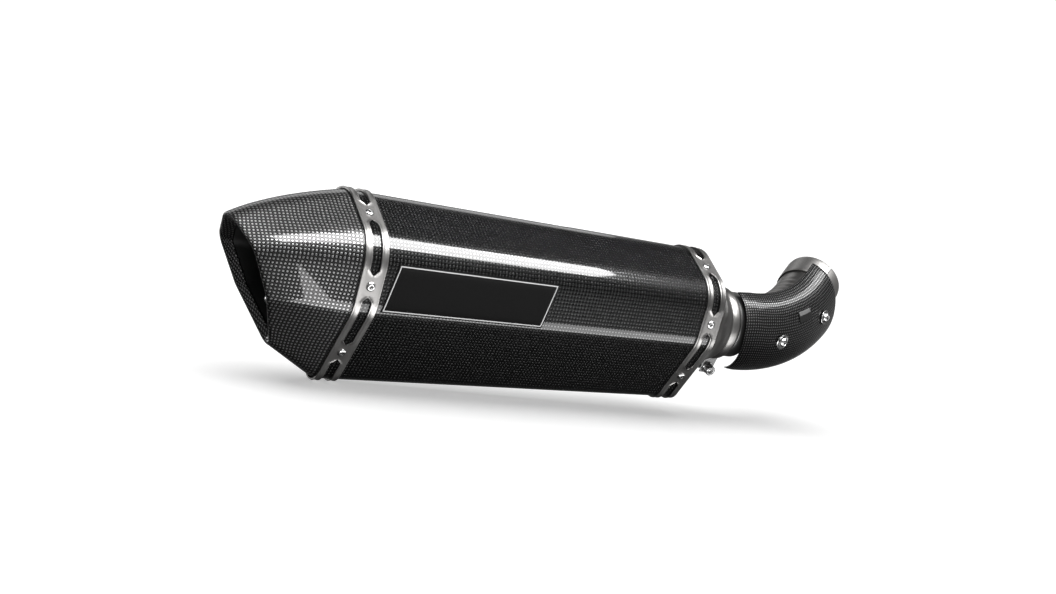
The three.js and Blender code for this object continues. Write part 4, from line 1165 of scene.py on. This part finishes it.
def stage_material():
    n = Nodes("studio_paper")
    fine = n.noise(n.position(), 0.02, 2.0)
    n.set(Base_Color=n.colour(n.between(fine, 0.3, 0.7), grey(0.82), grey(0.8)), Roughness=0.95,
          Specular_IOR_Level=0, Emission_Color=grey(1), Emission_Strength=FLOOR_GLOW)
    return n.material


def build_floor():
    """A wide pale floor at the object's lowest point, with no mirror image or shadow of its own."""
    mesh = bpy.data.meshes.new("studio_floor")
    corners = [(x * FLOOR_REACH, y * FLOOR_REACH) for x, y in [(-1, -1), (1, -1), (1, 1), (-1, 1)]]
    mesh.from_pydata([(x, y, cad_box[0][2]) for x, y in corners], [], [(0, 1, 2, 3)])
    mesh.materials.append(stage_material())
    floor = add_object("studio_floor", mesh)
    floor.visible_glossy = False
    floor.visible_shadow = False
    return floor


def add_lamp(name, kind, energy, lit):
    """A lamp that lights some objects only. Their collection isn't part of the scene's own tree."""
    light = bpy.data.lights.new(name, kind)
    light.energy = energy
    lamp = add_object(name, light)
    lamp.light_linking.receiver_collection = bpy.data.collections.new("lit_by_" + name)
    for thing in lit:
        lamp.light_linking.receiver_collection.objects.link(thing)
    return light, lamp


def build_lights(floor):
    """Soft banks for the pieces, and a wide sun for the floor alone."""
    shown = [o for o in bpy.context.scene.objects if o.type == "MESH" and o is not floor]
    for name, x, degrees, distance, size, radiance, spared in BANKS:
        lit = [o for o in shown if o.name not in spared]
        light, lamp = add_lamp(name, "AREA", radiance * pi * size[0] * size[1], lit)
        light.shape = "RECTANGLE"
        light.size, light.size_y = size
        toward = Vector((0, -cos(radians(degrees)), sin(radians(degrees))))
        lamp.location = place((x, 0, 0)) + toward * distance
        lamp.rotation_euler = toward.to_track_quat("Z", "Y").to_euler()
    light, lamp = add_lamp("floor_sun", "SUN", SUN_STRENGTH, [floor])
    light.angle = SUN_WIDTH
    lamp.rotation_euler = (SUN_TILT, 0, 0)


def build_world():
    """White to the camera. To the object it is dark with a pale band, so glossy faces keep their contrast."""
    world = bpy.data.worlds.new("studio")
    bpy.context.scene.world = world
    tree = Tree(world)
    split = tree.new("SeparateXYZ", {"Vector": tree.new("TexCoord").outputs["Generated"]})
    height = tree.new("MapRange", {"Value": split.outputs["Z"], "From Min": -1})
    ramp = tree.new("ValToRGB", {"Fac": height.outputs[0]})
    ramp.color_ramp.interpolation = "EASE"
    points = ramp.color_ramp.elements
    points[0].color = grey(WORLD_RAMP[0][1])
    points[1].color = grey(WORLD_RAMP[-1][1])
    for z, value in WORLD_RAMP[1:-1]:
        points.new((z + 1) / 2).color = grey(value)
    to_object = tree.new("Background", {"Color": ramp.outputs[0], "Strength": WORLD_STRENGTH})
    to_camera = tree.new("Background", {"Color": grey(1), "Strength": WORLD_SHOWN})
    seen = tree.new("LightPath").outputs["Is Camera Ray"]
    mix = tree.new("MixShader", {0: seen, 1: to_object.outputs[0], 2: to_camera.outputs[0]})
    tree.put(tree.graph.nodes["World Output"].inputs["Surface"], mix.outputs[0])
    bpy.context.scene.view_settings.view_transform = "Standard"


def build_camera():
    """A camera that looks at its target from an azimuth and elevation, turned by its roll."""
    level = cos(ELEVATION)
    forward = Vector((-sin(AZIMUTH) * level, cos(AZIMUTH) * level, -sin(ELEVATION)))
    level_right = forward.cross(Vector((0, 0, 1))).normalized()
    level_up = level_right.cross(forward)
    right = level_right * cos(ROLL) + level_up * sin(ROLL)
    up = right.cross(forward)
    camera = bpy.data.cameras.new("camera")
    camera.sensor_width = SENSOR_WIDTH
    camera.lens = LENS
    holder = add_object("camera", camera)
    turn = Matrix((right, up, -forward)).transposed().to_4x4()
    holder.matrix_world = Matrix.Translation(place(CAMERA_TARGET) - forward * CAMERA_DISTANCE) @ turn
    bpy.context.scene.camera = holder


build_sleeve()
build_end_cap()
build_outlet_cup()
build_cup_screw()
build_damper()
build_rear_strap()
build_rivets()
build_inlet_cap()
build_drain_hole()
build_inlet_sleeve()
build_clamp_band()
build_clamp_fasteners()
build_link_pipe()
build_slip_ring()
build_heat_shield()
build_shield_fasteners()
build_sleeve_badge()
build_shield_badge()
dress_cad_nodes()
build_lights(build_floor())
build_world()
build_camera()
